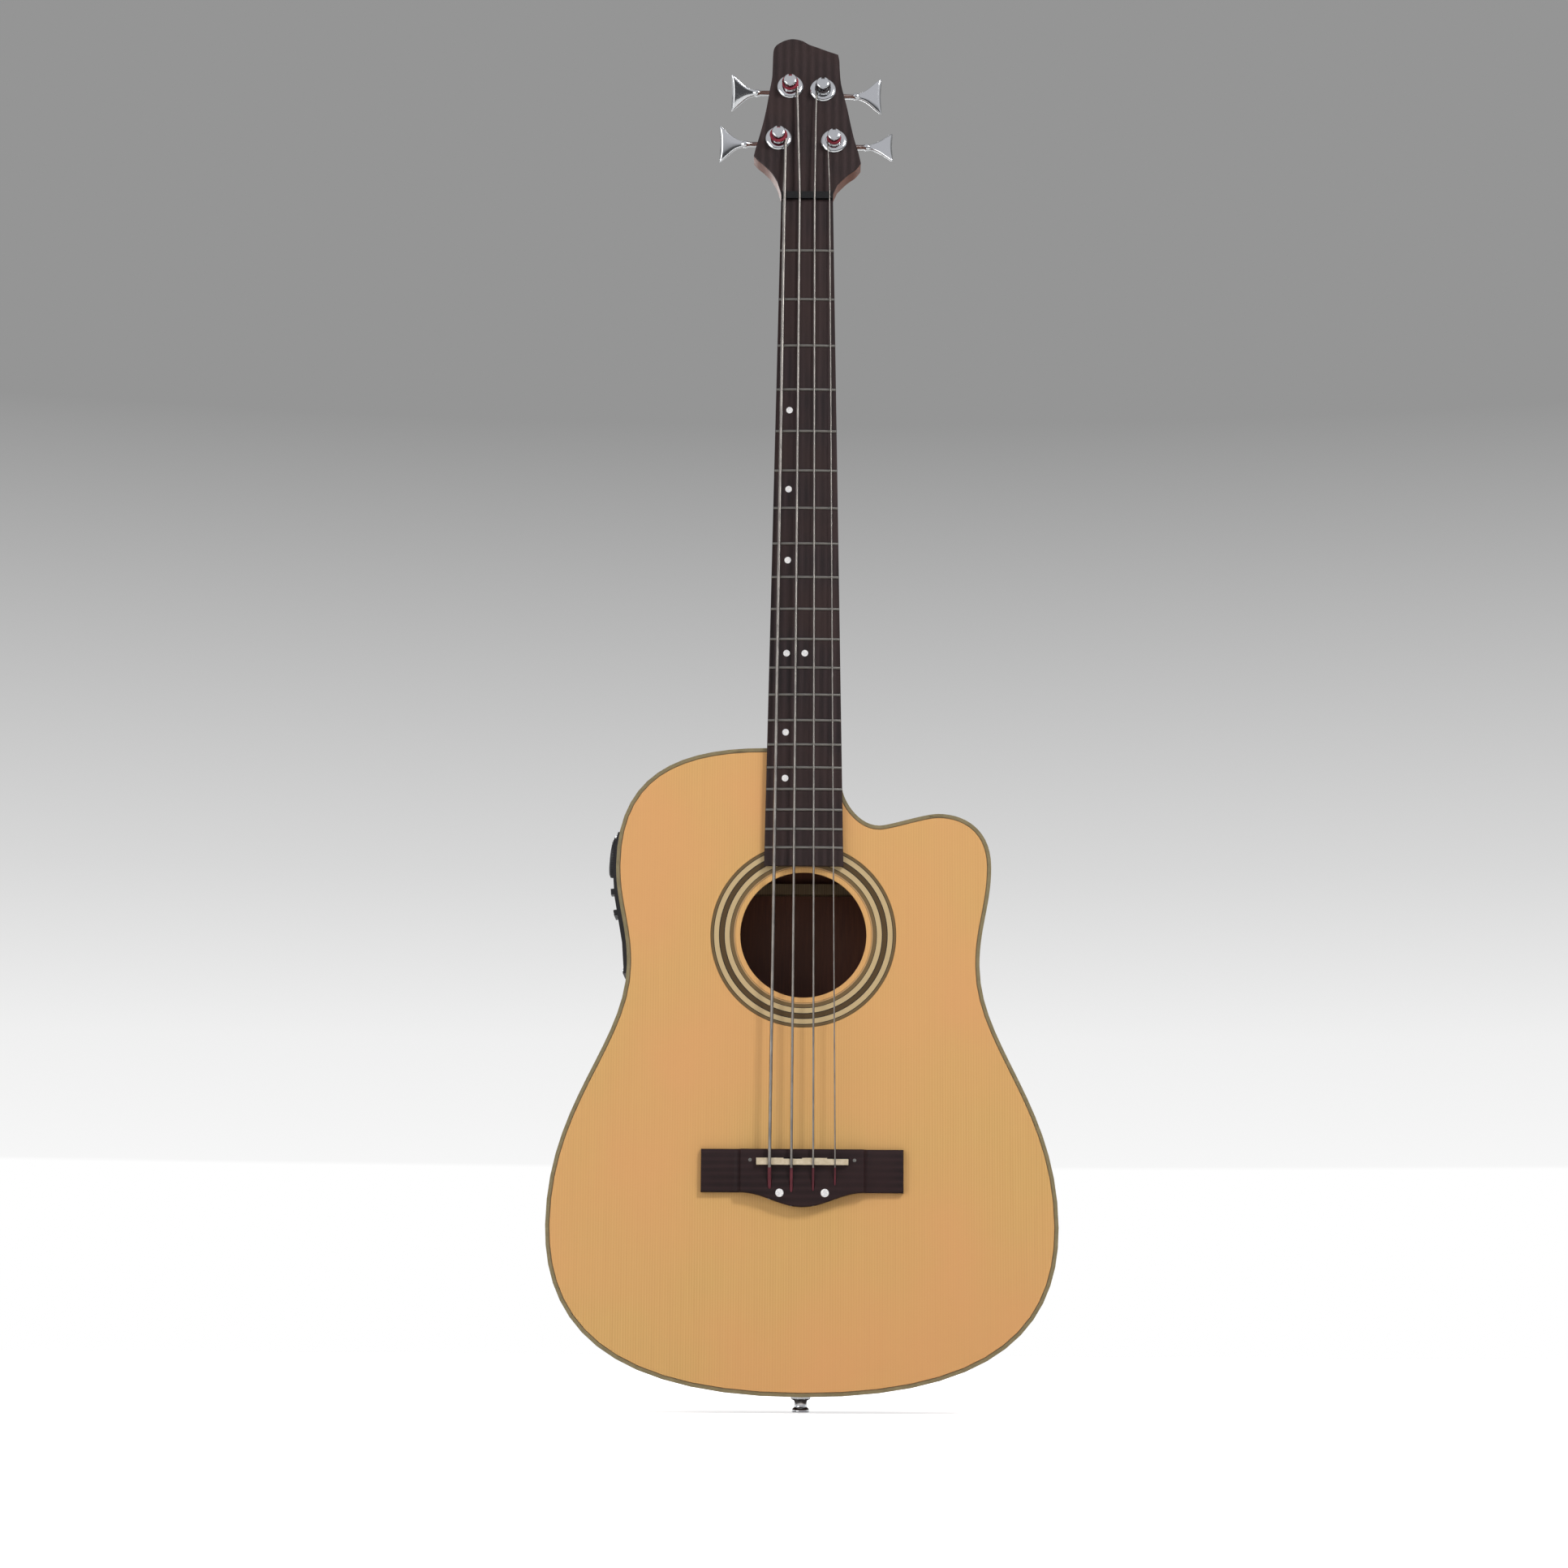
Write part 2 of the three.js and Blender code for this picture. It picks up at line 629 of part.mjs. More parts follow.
// Outline of the head in shares of half its width and of its length, from treble side to bass side.
const headShares = [
  [0.563, 0.062], [0.668, 0.098], [0.771, 0.129], [0.902, 0.16], [1, 0.2],
  [0.95, 0.271], [0.882, 0.345], [0.817, 0.436], [0.749, 0.546], [0.681, 0.637],
  [0.629, 0.711], [0.607, 0.794], [0.598, 0.858], [0.574, 0.899], [0.365, 0.923],
  [0.186, 0.945], [0.028, 0.964], [-0.1, 0.988], [-0.265, 1], [-0.4, 0.993],
  [-0.53, 0.973], [-0.61, 0.95], [-0.648, 0.913], [-0.658, 0.821], [-0.668, 0.747],
  [-0.71, 0.665], [-0.765, 0.554], [-0.822, 0.463], [-0.893, 0.371], [-0.956, 0.299],
  [-0.996, 0.244], [-0.919, 0.217], [-0.786, 0.18], [-0.657, 0.135], [-0.555, 0.08],
];

function headOutline(startZ) {
  const half = neckHalfAt(pivotZ);
  const points = headShares.map(([x, z]) => new THREE.Vector2(x * headWidth / 2, z * headLength));
  return [new THREE.Vector2(half, startZ), ...points, new THREE.Vector2(-half, startZ)];
}

const postShares = { a: [-0.325, 0.688], d: [0.288, 0.668], e: [-0.537, 0.354], g: [0.496, 0.338] };
const postPlaces = Object.fromEntries(Object.entries(postShares).map(([name, [x, z]]) => (
  [name, new THREE.Vector3(x * headWidth / 2, 0, z * headLength)])));

function postBores(radius, fromY, toY) {
  return Object.values(postPlaces).map((post) => rod(radius, new THREE.Vector3(post.x, fromY, post.z),
    new THREE.Vector3(post.x, toY, post.z), postSides));
}

function addNeck() {
  const head = plate(headOutline(0), level(headThickness), level(0)).applyMatrix4(headFrame);
  const bores = postBores(bushingRadius + fit, -fit, headThickness + fit);
  bores.forEach((bore) => bore.applyMatrix4(headFrame));
  const half = trussRodRadius + fit;
  const channel = box(-half, half, frontY - fit, frontY + trussRodDepth + half, bodyLength - 2 * tenonLength,
    nutZ - nutThickness);
  const whole = join(neckShaft(), head, tenon(0));
  place("neck", cut(whole, ...bores, channel), mahogany);
  const headGroup = new THREE.Group();
  headGroup.position.set(0, frontY, pivotZ);
  headGroup.rotation.x = -headTilt;
  guitar.add(headGroup);
  const veneer = plate(headOutline(fit), level(-fit), level(-fit - veneerThickness));
  const veneerBores = postBores(bushingRadius + fit, 0, -2 * fit - veneerThickness);
  place("headstock_veneer", cut(veneer, ...veneerBores), rosewood, headGroup);
  return headGroup;
}

const camberDrop = (x) => fretboardCamberRadius - Math.sqrt(fretboardCamberRadius ** 2 - x ** 2);
const camberShares = [1, 0.4, -0.4, -1];
const crownShare = 0.45;

function addFretboard() {
  const ends = [fretboardEndZ, nutZ - fit];
  const board = loft(ends.map((z) => {
    const half = neckHalfAt(z);
    const across = camberShares.map((share) => half * share);
    const top = across.map((x) => new THREE.Vector3(x, boardTopY + camberDrop(x), z));
    return [new THREE.Vector3(-half, boardBackY, z), new THREE.Vector3(half, boardBackY, z), ...top];
  }));
  const frets = Array.from({ length: fretCount }, (_, i) => {
    const z = fretZ(i + 1);
    const half = neckHalfAt(z) - fit;
    return loft(camberShares.map((share) => {
      const x = half * share;
      const y = boardTopY + camberDrop(x);
      const section = [[1, fretHeight], [1, 0], [crownShare, -fretHeight],
        [-crownShare, -fretHeight], [-1, 0], [-1, fretHeight]];
      return section.map(([across, rise]) => new THREE.Vector3(x, y + rise, z + across * fretWidth / 2));
    }));
  });
  place("fretboard", join(board, ...frets), rosewood);
  const rodY = frontY + trussRodDepth;
  const rodStart = blockBottomZ - fit - trussNutLength;
  const rodEnd = nutZ - nutThickness - fit;
  const [lower, upper] = [rodStart, rodEnd].map((z) => new THREE.Vector3(0, rodY, z));
  place("truss_rod", rod(trussRodRadius, lower, upper, smallSides), steel);
  const nutBody = plate(circle(0, 0, trussNutRadius, hexSides), level(trussNutLength), level(0),
    [circle(0, 0, trussRodRadius + fit, smallSides)]).rotateX(Math.PI / 2);
  place("truss_nut", nutBody.translate(0, rodY, rodStart), brass);
}

// Strings: spread at the nut and saddle, heights over both, and a place on each post.
const stringShares = [-1, -1 / 3, 1 / 3, 1];
const strings = stringNames.map((name, i) => {
  const radius = stringDiameters[i] / 2;
  const post = postPlaces[name];
  return { name, radius, turns: windingTurns[i], post, side: Math.sign(post.x),
    nutX: stringShares[i] * nutStringSpread / 2, saddleX: stringShares[i] * bridgeStringSpread / 2 };
});
const slotBottomY = fretTopY - nutSlotLift;
const bridgeBackZ = (x) => bridgeFrontZ - bridgeWingLength - bulgeAt(x);
const bulgeAt = (x) => {
  const share = Math.min(1, Math.abs(x) / (bridgeBlockWidth / 2));
  return bridgeBulge * (0.5 + 0.5 * Math.cos(Math.PI * share));
};

function saddlePoints(string) {
  const rest = saddleTopY - fit - string.radius;
  const seat = new THREE.Vector3(string.saddleX, bridgeBackY - ballSeatLift, bridgeBackZ(string.saddleX));
  return { seat, rear: new THREE.Vector3(string.saddleX, rest, saddleHeight - saddleThickness / 2),
    front: new THREE.Vector3(string.saddleX, rest, saddleHeight + saddleThickness / 2) };
}

function nutPoints(string) {
  const y = slotBottomY - fit - string.radius;
  return [new THREE.Vector3(string.nutX, y, nutZ), new THREE.Vector3(string.nutX, y, pivotZ)];
}

function addNut() {
  const half = neckHalfAt(nutZ);
  const blank = box(-half, half, slotBottomY - nutCrown, boardBackY, nutZ, pivotZ);
  const slots = strings.map((string) => {
    const [front, rear] = nutPoints(string);
    const reach = new THREE.Vector3(0, 0, nutThickness);
    return rod(string.radius + fit, front.clone().sub(reach), rear.clone().add(reach), smallSides);
  });
  place("nut", cut(blank, ...slots), blackPlastic);
}

// Bridge: a centre block with coved shoulders down to thin wings, and a bulge behind the string seats.
const bulgeShares = [-1, -0.75, -0.5, -0.25, 0, 0.25, 0.5, 0.75, 1];
const coveShares = [[0, 0], [0.15, 0.45], [0.5, 0.85], [1, 1]];
const bridgeBoltZ = saddleHeight - bridgeBoltSetback;

function prism(profile, z0, z1) {
  const shape = new THREE.Shape(profile);
  const straight = { depth: z1 - z0, steps: 1, bevelEnabled: false };
  return new THREE.ExtrudeGeometry(shape, straight).translate(0, 0, z0);
}

function boltRods(radius, backY, frontFaceY, sides) {
  return [-1, 1].map((side) => {
    const x = side * bridgeBoltSpacing / 2;
    const [back, front] = [backY, frontFaceY].map((y) => new THREE.Vector3(x, y, bridgeBoltZ));
    return rod(radius, back, front, sides);
  });
}

function addBridge() {
  const half = bridgeWidth / 2;
  const block = bridgeBlockWidth / 2;
  const wingZ = bridgeFrontZ - bridgeWingLength;
  const back = bulgeShares.map((share) => new THREE.Vector2(share * block, bridgeBackZ(share * block)));
  const foot = [new THREE.Vector2(-half, wingZ), ...back, new THREE.Vector2(half, wingZ),
    new THREE.Vector2(half, bridgeFrontZ), new THREE.Vector2(-half, bridgeFrontZ)];
  const cove = coveShares.map(([across, down]) => [block + bridgeCoveWidth * across,
    mix(bridgeThickness, bridgeWingThickness, down)]);
  const right = [...cove, [half + fit, bridgeWingThickness], [half + fit, -fit]];
  const profile = [...right.map(([x, lift]) => [-x, lift]).reverse(), ...right]
    .map(([x, lift]) => new THREE.Vector2(x, bridgeBackY - lift));
  const blank = overlapOf(plate(foot, level(bridgeBackY), level(bridgeTopY - fit)),
    prism(profile, wingZ - bridgeBulge - fit, bridgeFrontZ + fit));
  const slotHalf = saddleLength / 2 + fit;
  const slotReach = saddleThickness / 2 + fit;
  const slotFloorY = bridgeTopY + saddleSlotDepth;
  const slot = box(-slotHalf, slotHalf, bridgeTopY - fit, slotFloorY, saddleHeight - slotReach,
    saddleHeight + slotReach);
  const tunnels = strings.flatMap((string) => {
    const { seat, rear } = saddlePoints(string);
    const along = rear.clone().sub(seat).normalize();
    const out = seat.clone().addScaledVector(along, -ballLength);
    const inner = seat.clone().addScaledVector(along, ballLength + string.radius + fit);
    const tunnel = rod(string.radius + 2 * fit, out, rear, tunnelSides);
    return [tunnel, rod(ballRadius + 2 * fit, out, inner, tunnelSides)];
  });
  const headBackY = bridgeTopY + boltCapDepth + boltHeadDepth;
  const heads = boltRods(boltHeadRadius + fit, headBackY + fit, bridgeTopY - fit, shaftSides);
  const shanks = boltRods(boltRadius + fit, bridgeBackY + fit, bridgeTopY, shaftSides);
  place("bridge", cut(blank, slot, ...tunnels, ...heads, ...shanks), rosewood);
  const pickupY = slotFloorY - fit - pickupThickness;
  place("saddle_pickup", box(-saddleLength / 2, saddleLength / 2, pickupY, slotFloorY - fit,
    saddleHeight - saddleThickness / 2, saddleHeight + saddleThickness / 2), steel);
  place("saddle", plate(saddleOutline(), level(pickupY - fit), level(saddleTopY)), bone);
  ["left", "right"].forEach((side, i) => place(`bridge_bolt_${side}`, boltSolid(i), steel));
}

// The saddle's front edge is stepped, so that each string has its own compensated length.
const stepShares = [[-1, 0], [-0.41, 1], [0, 0], [0.54, 1], [1, 0]];

function saddleOutline() {
  const half = saddleLength / 2;
  const rearZ = saddleHeight - saddleThickness / 2;
  const frontZ = saddleHeight + saddleThickness / 2;
  const points = [new THREE.Vector2(half, rearZ)];
  for (let i = stepShares.length - 2; i >= 0; i--) {
    const z = frontZ - saddleSetback * stepShares[i][1];
    const [from, to] = [stepShares[i + 1][0] * half, stepShares[i][0] * half];
    points.push(new THREE.Vector2(from, z), new THREE.Vector2(to, z));
  }
  return [...points, new THREE.Vector2(-half, rearZ)];
}

function boltSolid(i) {
  const plateBackY = liningTopY + bridgePlateThickness;
  const headY = bridgeTopY + boltCapDepth;
  const nutY = plateBackY + fit;
  const head = boltRods(boltHeadRadius, headY + boltHeadDepth, headY, shaftSides)[i];
  const shank = boltRods(boltRadius, nutY + boltNutThickness, headY + boltHeadDepth / 2, shaftSides)[i];
  const hex = boltRods(boltNutRadius, nutY + boltNutThickness / 2, nutY, hexSides)[i];
  return join(head, shank, hex);
}

// The bridge plate lies between the lower legs of the X brace.
const plateReachShare = 0.85;
const legX = (z) => (crossZ - z) / Math.tan(crossTurn) - (braceWidth / 2 + 2 * fit) / Math.sin(crossTurn);

function addBridgePlate() {
  const wide = legX(bridgeRearZ) * plateReachShare;
  const narrow = legX(bridgeFrontZ) * plateReachShare;
  const points = [[-wide, bridgeRearZ], [wide, bridgeRearZ], [narrow, bridgeFrontZ], [-narrow, bridgeFrontZ]]
    .map(([x, z]) => new THREE.Vector2(x, z));
  const blank = plate(points, level(liningTopY + bridgePlateThickness), level(liningTopY));
  const boltHoles = boltRods(boltRadius + fit, liningTopY + 2 * bridgePlateThickness, frontY, shaftSides);
  place("bridge_plate", cut(blank, ...boltHoles), maple);
}

// Headstock levels along the posts: the veneer's front, the ferrule, the post's base and the gear behind.
const veneerFrontY = -fit - veneerThickness;
const ferruleBackY = veneerFrontY - fit;
const ferruleFrontY = ferruleBackY - ferruleThickness;
const postFootY = ferruleFrontY - fit;
const waistFootY = postFootY - postBaseThickness;
const postTipY = ferruleFrontY - postHeight;
const housingFrontY = headThickness + fit;
const gearFrontY = housingFrontY + housingWall + fit;
const gearBackY = gearFrontY + gearThickness;
const wormRise = gearRadius + fit + wormRadius;
const keyRestDegrees = { a: 30, e: 18, d: 14, g: -14 };
const leadSteps = 24;

// The free string runs to the side of the post that faces the centreline, then climbs the waist turn by turn.
function windingPoints(string) {
  const { post, radius, turns, side } = string;
  const reach = postWaistRadius + fit + radius;
  const [, rear] = nutPoints(string);
  const start = rear.clone().applyMatrix4(headFrame.clone().invert());
  const away = Math.atan2(start.z - post.z, start.x - post.x);
  const distance = Math.hypot(start.z - post.z, start.x - post.x);
  const first = away - side * Math.acos(reach / distance);
  const pitch = 2 * radius + windingGap;
  const steps = Math.round(turns * leadSteps);
  const loops = Array.from({ length: steps + 1 }, (_, k) => {
    const angle = first - side * (2 * Math.PI * k) / leadSteps;
    const y = waistFootY - fit - radius - (pitch * k) / leadSteps;
    return new THREE.Vector3(post.x + reach * Math.cos(angle), y, post.z + reach * Math.sin(angle));
  });
  return loops.map((point) => point.applyMatrix4(headFrame));
}

function leastLoopGap(loops, radius) {
  let least = Infinity;
  loops.forEach((a, i) => loops.slice(i + leadSteps / 2).forEach((b) => {
    least = Math.min(least, a.distanceTo(b) - 2 * radius);
  }));
  return least;
}

function addStrings() {
  strings.forEach((string) => {
    const { seat, rear, front } = saddlePoints(string);
    const [nutFront, nutRear] = nutPoints(string);
    const along = rear.clone().sub(seat).normalize();
    const ballOut = seat.clone();
    const ballIn = seat.clone().addScaledVector(along, ballLength);
    const neckOut = ballIn.clone().addScaledVector(along, string.radius);
    const loops = windingPoints(string);
    const points = [ballOut, ballIn, neckOut, rear, front, nutFront, nutRear, ...loops];
    const radii = points.map((_, i) => (i < 2 ? ballRadius : string.radius));
    place(`string_${string.name}`, tube(points, radii, cordSides), bronze);
    const least = leastLoopGap(loops, string.radius).toFixed(2);
    console.log(`string_${string.name}: least gap between turns ${least} mm`);
  });
}

// Tuners: a sealed housing behind the head, a key with its worm, a post with its gear, a ferrule in front.
const flareShares = [[0, 0.17], [0.2, 0.2], [0.42, 0.34], [0.65, 0.6], [0.85, 0.86], [0.95, 0.99], [1, 0.96]];
const flareDipShare = 0.94;
const postCapShares = [[1, 0.7], [1, 0.25], [0.8, 0]];
const ferruleRimShare = 0.93;

function gearOutline(post) {
  return Array.from({ length: 2 * toothCount }, (_, i) => {
    const angle = (Math.PI * i) / toothCount;
    const radius = i % 2 ? gearRadius - toothDepth : gearRadius;
    return new THREE.Vector2(post.x + radius * Math.cos(angle), post.z + radius * Math.sin(angle));
  });
}

function postSolid(post) {
  const gearMiddleY = gearFrontY + gearThickness / 2;
  const cap = postCapShares.map(([out, down]) => [out * postTopRadius, postTipY + down * postTopThickness]);
  const rootRadius = gearRadius - toothDepth;
  const profile = [[0, gearMiddleY], [rootRadius, gearMiddleY], [rootRadius, gearFrontY],
    [postRadius, gearFrontY - fit], [postRadius, postFootY], [postTopRadius, postFootY],
    [postTopRadius, waistFootY], [postWaistRadius, waistFootY],
    [postWaistRadius, postTipY + postTopThickness], ...cap, [0, postTipY]];
  const body = lathe(profile, postSides).translate(post.x, 0, post.z);
  const gear = plate(gearOutline(post), level(gearBackY), level(gearFrontY));
  const half = postSlotWidth / 2;
  const slot = box(post.x - half, post.x + half, postTipY - fit, postTipY + postTopThickness,
    post.z - 2 * postTopRadius, post.z + 2 * postTopRadius);
  return cut(join(body, gear), slot);
}

function keySolid(post, side, restDegrees) {
  const half = wormLength / 2;
  const worm = [[0, -half]];
  for (let i = 0; i <= 2 * wormThreads; i++) {
    worm.push([i % 2 ? wormRadius : wormRadius - toothDepth, -half + (i * wormLength) / (2 * wormThreads)]);
  }
  worm.push([0, half]);
  const wormBody = lathe(worm, tunnelSides).rotateZ(-Math.PI / 2);
  const flareStart = keyReach - keyFlareLength;
  const shaft = rod(keyShaftRadius, new THREE.Vector3(side * (half - fit), 0, 0),
    new THREE.Vector3(side * (flareStart + keyThickness), 0, 0), smallSides);
  const upper = flareShares.map(([out, up]) => [flareStart + keyFlareLength * out, up * keyFlareHeight / 2]);
  const rim = [...upper, [flareStart + keyFlareLength * flareDipShare, 0]];
  const lowerRim = upper.map(([x, z]) => [x, -z]).reverse();
  const points = [...rim, ...lowerRim].map(([x, z]) => new THREE.Vector2(side * x, z));
  const button = plate(points, level(keyThickness / 2), level(-keyThickness / 2))
    .rotateX(THREE.MathUtils.degToRad(restDegrees));
  return join(wormBody, shaft, button).translate(post.x, gearFrontY + gearThickness / 2, post.z + wormRise);
}

function housingSolid(post, side) {
  const half = housingWidth / 2;
  const middleZ = post.z + wormRise / 2;
  const axisY = gearFrontY + gearThickness / 2;
  const axisZ = post.z + wormRise;
  const halfHeight = housingHeight / 2;
  const corner = [[half - housingWall, halfHeight], [half, halfHeight - housingWall]];
  const flip = (points, x, z) => points.map((p) => [x * p[0], z * p[1]]);
  const points = [...flip(corner, 1, 1), ...flip(corner, 1, -1).reverse(), ...flip(corner, -1, -1),
    ...flip(corner, -1, 1).reverse()].map(([x, z]) => new THREE.Vector2(post.x + x, middleZ + z));
  const onAxis = (out) => new THREE.Vector3(post.x + side * out, axisY, axisZ);
  const along = (from, to, radius, sides) => rod(radius, onAxis(from), onAxis(to), sides);
  const shell = join(plate(points, level(housingFrontY + housingDepth), level(housingFrontY)),
    along(half - housingWall, half + collarLength, keyCollarRadius, shaftSides));
  const through = (radius, fromY, toY) => rod(radius, new THREE.Vector3(post.x, fromY, post.z),
    new THREE.Vector3(post.x, toY, post.z), shaftSides);
  return cut(shell, through(postRadius + fit, housingFrontY - fit, gearFrontY),
    through(gearRadius + fit, gearFrontY - 2 * fit, gearBackY + fit),
    along(-wormLength / 2 - fit, wormLength / 2 + fit, wormRadius + fit, smallSides),
    along(wormLength / 2 - 2 * fit, half + collarLength + fit, keyShaftRadius + fit, smallSides));
}

function ferruleSolid(post) {
  const bore = postRadius + fit;
  const profile = [[bore, bushingDepth], [bore, ferruleFrontY],
    [ferruleRimShare * ferruleRadius, ferruleFrontY],
    [ferruleRadius, (ferruleFrontY + ferruleBackY) / 2], [ferruleRadius, ferruleBackY],
    [bushingRadius, ferruleBackY], [bushingRadius, bushingDepth], [bore, bushingDepth]];
  return lathe(profile, turnedSides).translate(post.x, 0, post.z);
}

function addTuners(headGroup) {
  strings.forEach(({ name, post, side }) => {
    place(`tuner_housing_${name}`, housingSolid(post, side), chrome, headGroup);
    place(`tuner_key_${name}`, keySolid(post, side, keyRestDegrees[name]), chrome, headGroup);
    place(`tuner_post_${name}`, postSolid(post), chrome, headGroup);
    place(`tuner_ferrule_${name}`, ferruleSolid(post), chrome, headGroup);
  });
}

// Preamp: a panel that follows the bass rim over a housing that drops through it.
const preampShare = 0.7624;
const knobShare = 0.337;
const buttonShare = 0.097;
const sliderShare = -0.0561;
const doorShare = -0.3017;
const sliderPlaceShares = [-1.5, -0.5, 0.5, 1.5];
const knobCapShares = [[1, 0.4], [0.9, 0.75], [0.6, 1]];
const preampZ = bodyLength * preampShare;
const preampY = (frontY + backOuterAt(preampZ)) / 2;
const preampHalf = preampWidth / 2;
const openingHalf = preampHalf - panelFlange;
const preampFloorZ = preampZ - preampLength / 2;
const preampCeilingZ = preampZ + preampLength / 2;
const doorZ = preampZ + preampLength * doorShare;
const batteryX = -waistWidth / 2 + batteryInset;
const batteryBackX = batteryX + batteryLength;
const wellHalfZ = batteryThickness / 2 + fit;

function rimPointAt(z) {
  const i = outline.findIndex((point, k) => {
    const next = outline[(k + 1) % outline.length];
    return point.x < -waistWidth / 4 && point.y >= z && next.y < z;
  });
  const [a, b] = [outline[i], outline[(i + 1) % outline.length]];
  return a.clone().lerp(b, (a.y - z) / (a.y - b.y));
}

// A frame on the bass rim: X outwards, Z up along the rim, lifted to clear the rim over its span.
function rimFrame(z, span) {
  const low = rimPointAt(z - span);
  const along = rimPointAt(z + span).sub(low).normalize();
  const outward = new THREE.Vector2(-along.y, along.x);
  const near = outline.filter((point) => point.x < 0 && Math.abs(point.y - z) < span);
  const lift = Math.max(0, ...near.map((point) => point.clone().sub(low).dot(outward)));
  const origin = low.clone().addScaledVector(along, (z - low.y) / along.y).addScaledVector(outward, lift);
  const [out, up] = [outward, along].map((way) => new THREE.Vector3(way.x, 0, way.y));
  const frame = new THREE.Matrix4().makeBasis(out, new THREE.Vector3(0, -1, 0), up);
  return frame.setPosition(origin.x, preampY, origin.y);
}

function preampBlock(margin) {
  const half = openingHalf - fit + margin;
  const reachX = -lowerBoutWidth;
  const controls = box(reachX, -waistWidth / 2 + preampDepth + margin, preampY - half, preampY + half,
    preampFloorZ + panelFlange + fit - margin, preampCeilingZ - panelFlange - fit + margin);
  const wellWall = housingBoxWall + margin;
  const well = box(reachX, batteryBackX + fit + wellWall, preampY - half, preampY + half,
    doorZ - wellHalfZ - wellWall, doorZ + wellHalfZ + wellWall);
  return join(controls, well);
}

const controlShelfZ = doorZ + wellHalfZ + 2 * housingBoxWall;
const panelFaceX = fit + panelThickness;

function addPreamp() {
  const outside = plate(outline, level(backOuterAt(0)), level(frontY));
  const half = openingHalf - fit - housingBoxWall;
  const wellWidth = batteryWidth + 2 * fit;
  const well = slab(-lowerBoutWidth, batteryBackX + fit, preampY, doorZ, wellWidth, 2 * wellHalfZ);
  const controls = box(-lowerBoutWidth, -waistWidth / 2 + preampDepth - housingBoxWall, preampY - half,
    preampY + half, controlShelfZ, preampCeilingZ - panelFlange - fit - housingBoxWall);
  place("preamp_housing", cut(overlapOf(preampBlock(0), outside), well, controls), blackPlastic);
  place("battery", slab(batteryX, batteryBackX, preampY, doorZ, batteryWidth, batteryThickness), steel);
  const [outer, inner] = [inset(outline, -fit - panelThickness), inset(outline, -fit)];
  const skin = ringPlate(outer, inner, level(preampY + preampHalf), level(preampY - preampHalf));
  const doorInner = inset(outline, doorThickness - fit - panelThickness);
  const doorSkin = ringPlate(outer, doorInner, level(preampY + preampHalf), level(preampY - preampHalf));
  const patch = (y, z0, z1) => box(-lowerBoutWidth, 0, preampY - y, preampY + y, z0, z1);
  const door = [doorZ - doorLength / 2, doorZ + doorLength / 2];
  const panel = overlapOf(skin, patch(preampHalf, preampFloorZ, preampCeilingZ));
  const knobFrame = rimFrame(preampZ + preampLength * knobShare, knobRadius);
  const buttonFrame = rimFrame(preampZ + preampLength * buttonShare, buttonLength);
  const sliderFrame = rimFrame(preampZ + preampLength * sliderShare, (sliderTravel + sliderCapLength) / 2);
  const knobHole = rod(knobShaftRadius + fit, new THREE.Vector3(-knobHeight, 0, 0),
    new THREE.Vector3(2 * knobHeight, 0, 0), shaftSides).applyMatrix4(knobFrame);
  const reach = 2 * (fit + panelThickness);
  const buttonHole = slab(-reach, reach, 0, 0, buttonWidth + 2 * fit, buttonLength + 2 * fit);
  const sliderYs = sliderPlaceShares.map((share) => share * sliderSpacing);
  const slotLength = sliderTravel + sliderStemLength + 2 * fit;
  const slots = sliderYs.map((y) => slab(-reach, reach, y, 0, sliderStemWidth + 2 * fit, slotLength));
  const holes = [knobHole, buttonHole.applyMatrix4(buttonFrame),
    ...slots.map((slot) => slot.applyMatrix4(sliderFrame))];
  const doorway = patch(doorWidth / 2 + fit, door[0] - fit, door[1] + fit);
  place("preamp_panel", cut(panel, doorway, ...holes), blackPlastic);
  place("battery_door", overlapOf(doorSkin, patch(doorWidth / 2, ...door)), blackPlastic);
  const face = panelFaceX + fit;
  const dome = knobCapShares.map(([out, up]) => [out * knobRadius, face + up * knobHeight]);
  const knob = lathe([[0, -knobShaftLength], [knobShaftRadius, -knobShaftLength], [knobShaftRadius, face],
    [knobRadius, face], ...dome, [0, face + knobHeight]], boreSides).rotateZ(-Math.PI / 2);
  place("volume_knob", knob.applyMatrix4(knobFrame), blackPlastic);
  const button = slab(-buttonDepth, panelFaceX + buttonProud, 0, 0, buttonWidth, buttonLength);
  place("preamp_button", button.applyMatrix4(buttonFrame), blackPlastic);
  sliderYs.forEach((y, i) => {
    const stem = slab(-sliderStemDepth, face + fit, y, 0, sliderStemWidth, sliderStemLength);
    const cap = slab(face, face + sliderCapHeight, y, 0, sliderCapWidth, sliderCapLength);
    place(`eq_slider_${i + 1}`, join(stem, cap).applyMatrix4(sliderFrame), blackPlastic);
  });
}

// End-pin jack: a strap button outside, a threaded barrel through the tail block and a nut inside.
function addJack() {
  const nutStart = tailBlockTopZ + fit;
  const nutEnd = nutStart + jackNutThickness;
  const boreEnd = jackBoreDepth - jackLength;
  const tipBack = jackTipThickness - jackLength;
  const profile = [[0, boreEnd], [jackBoreRadius, boreEnd], [jackBoreRadius, -jackLength],
    [jackTipRadius, -jackLength], [jackTipRadius, tipBack], [jackWaistRadius, tipBack + fit],
    [jackWaistRadius, -jackFlangeThickness - fit], [jackFlangeRadius, -jackFlangeThickness],
    [jackFlangeRadius, -fit], [jackBarrelRadius, -fit], [jackBarrelRadius, nutStart],
    [jackNutRadius, nutStart], [jackNutRadius, nutEnd], [jackBarrelRadius, nutEnd],
    [jackBarrelRadius, jackBarrelLength], [0, jackBarrelLength]];
  place("endpin_jack", lathe(profile, turnedSides).rotateX(Math.PI / 2), chrome);
}

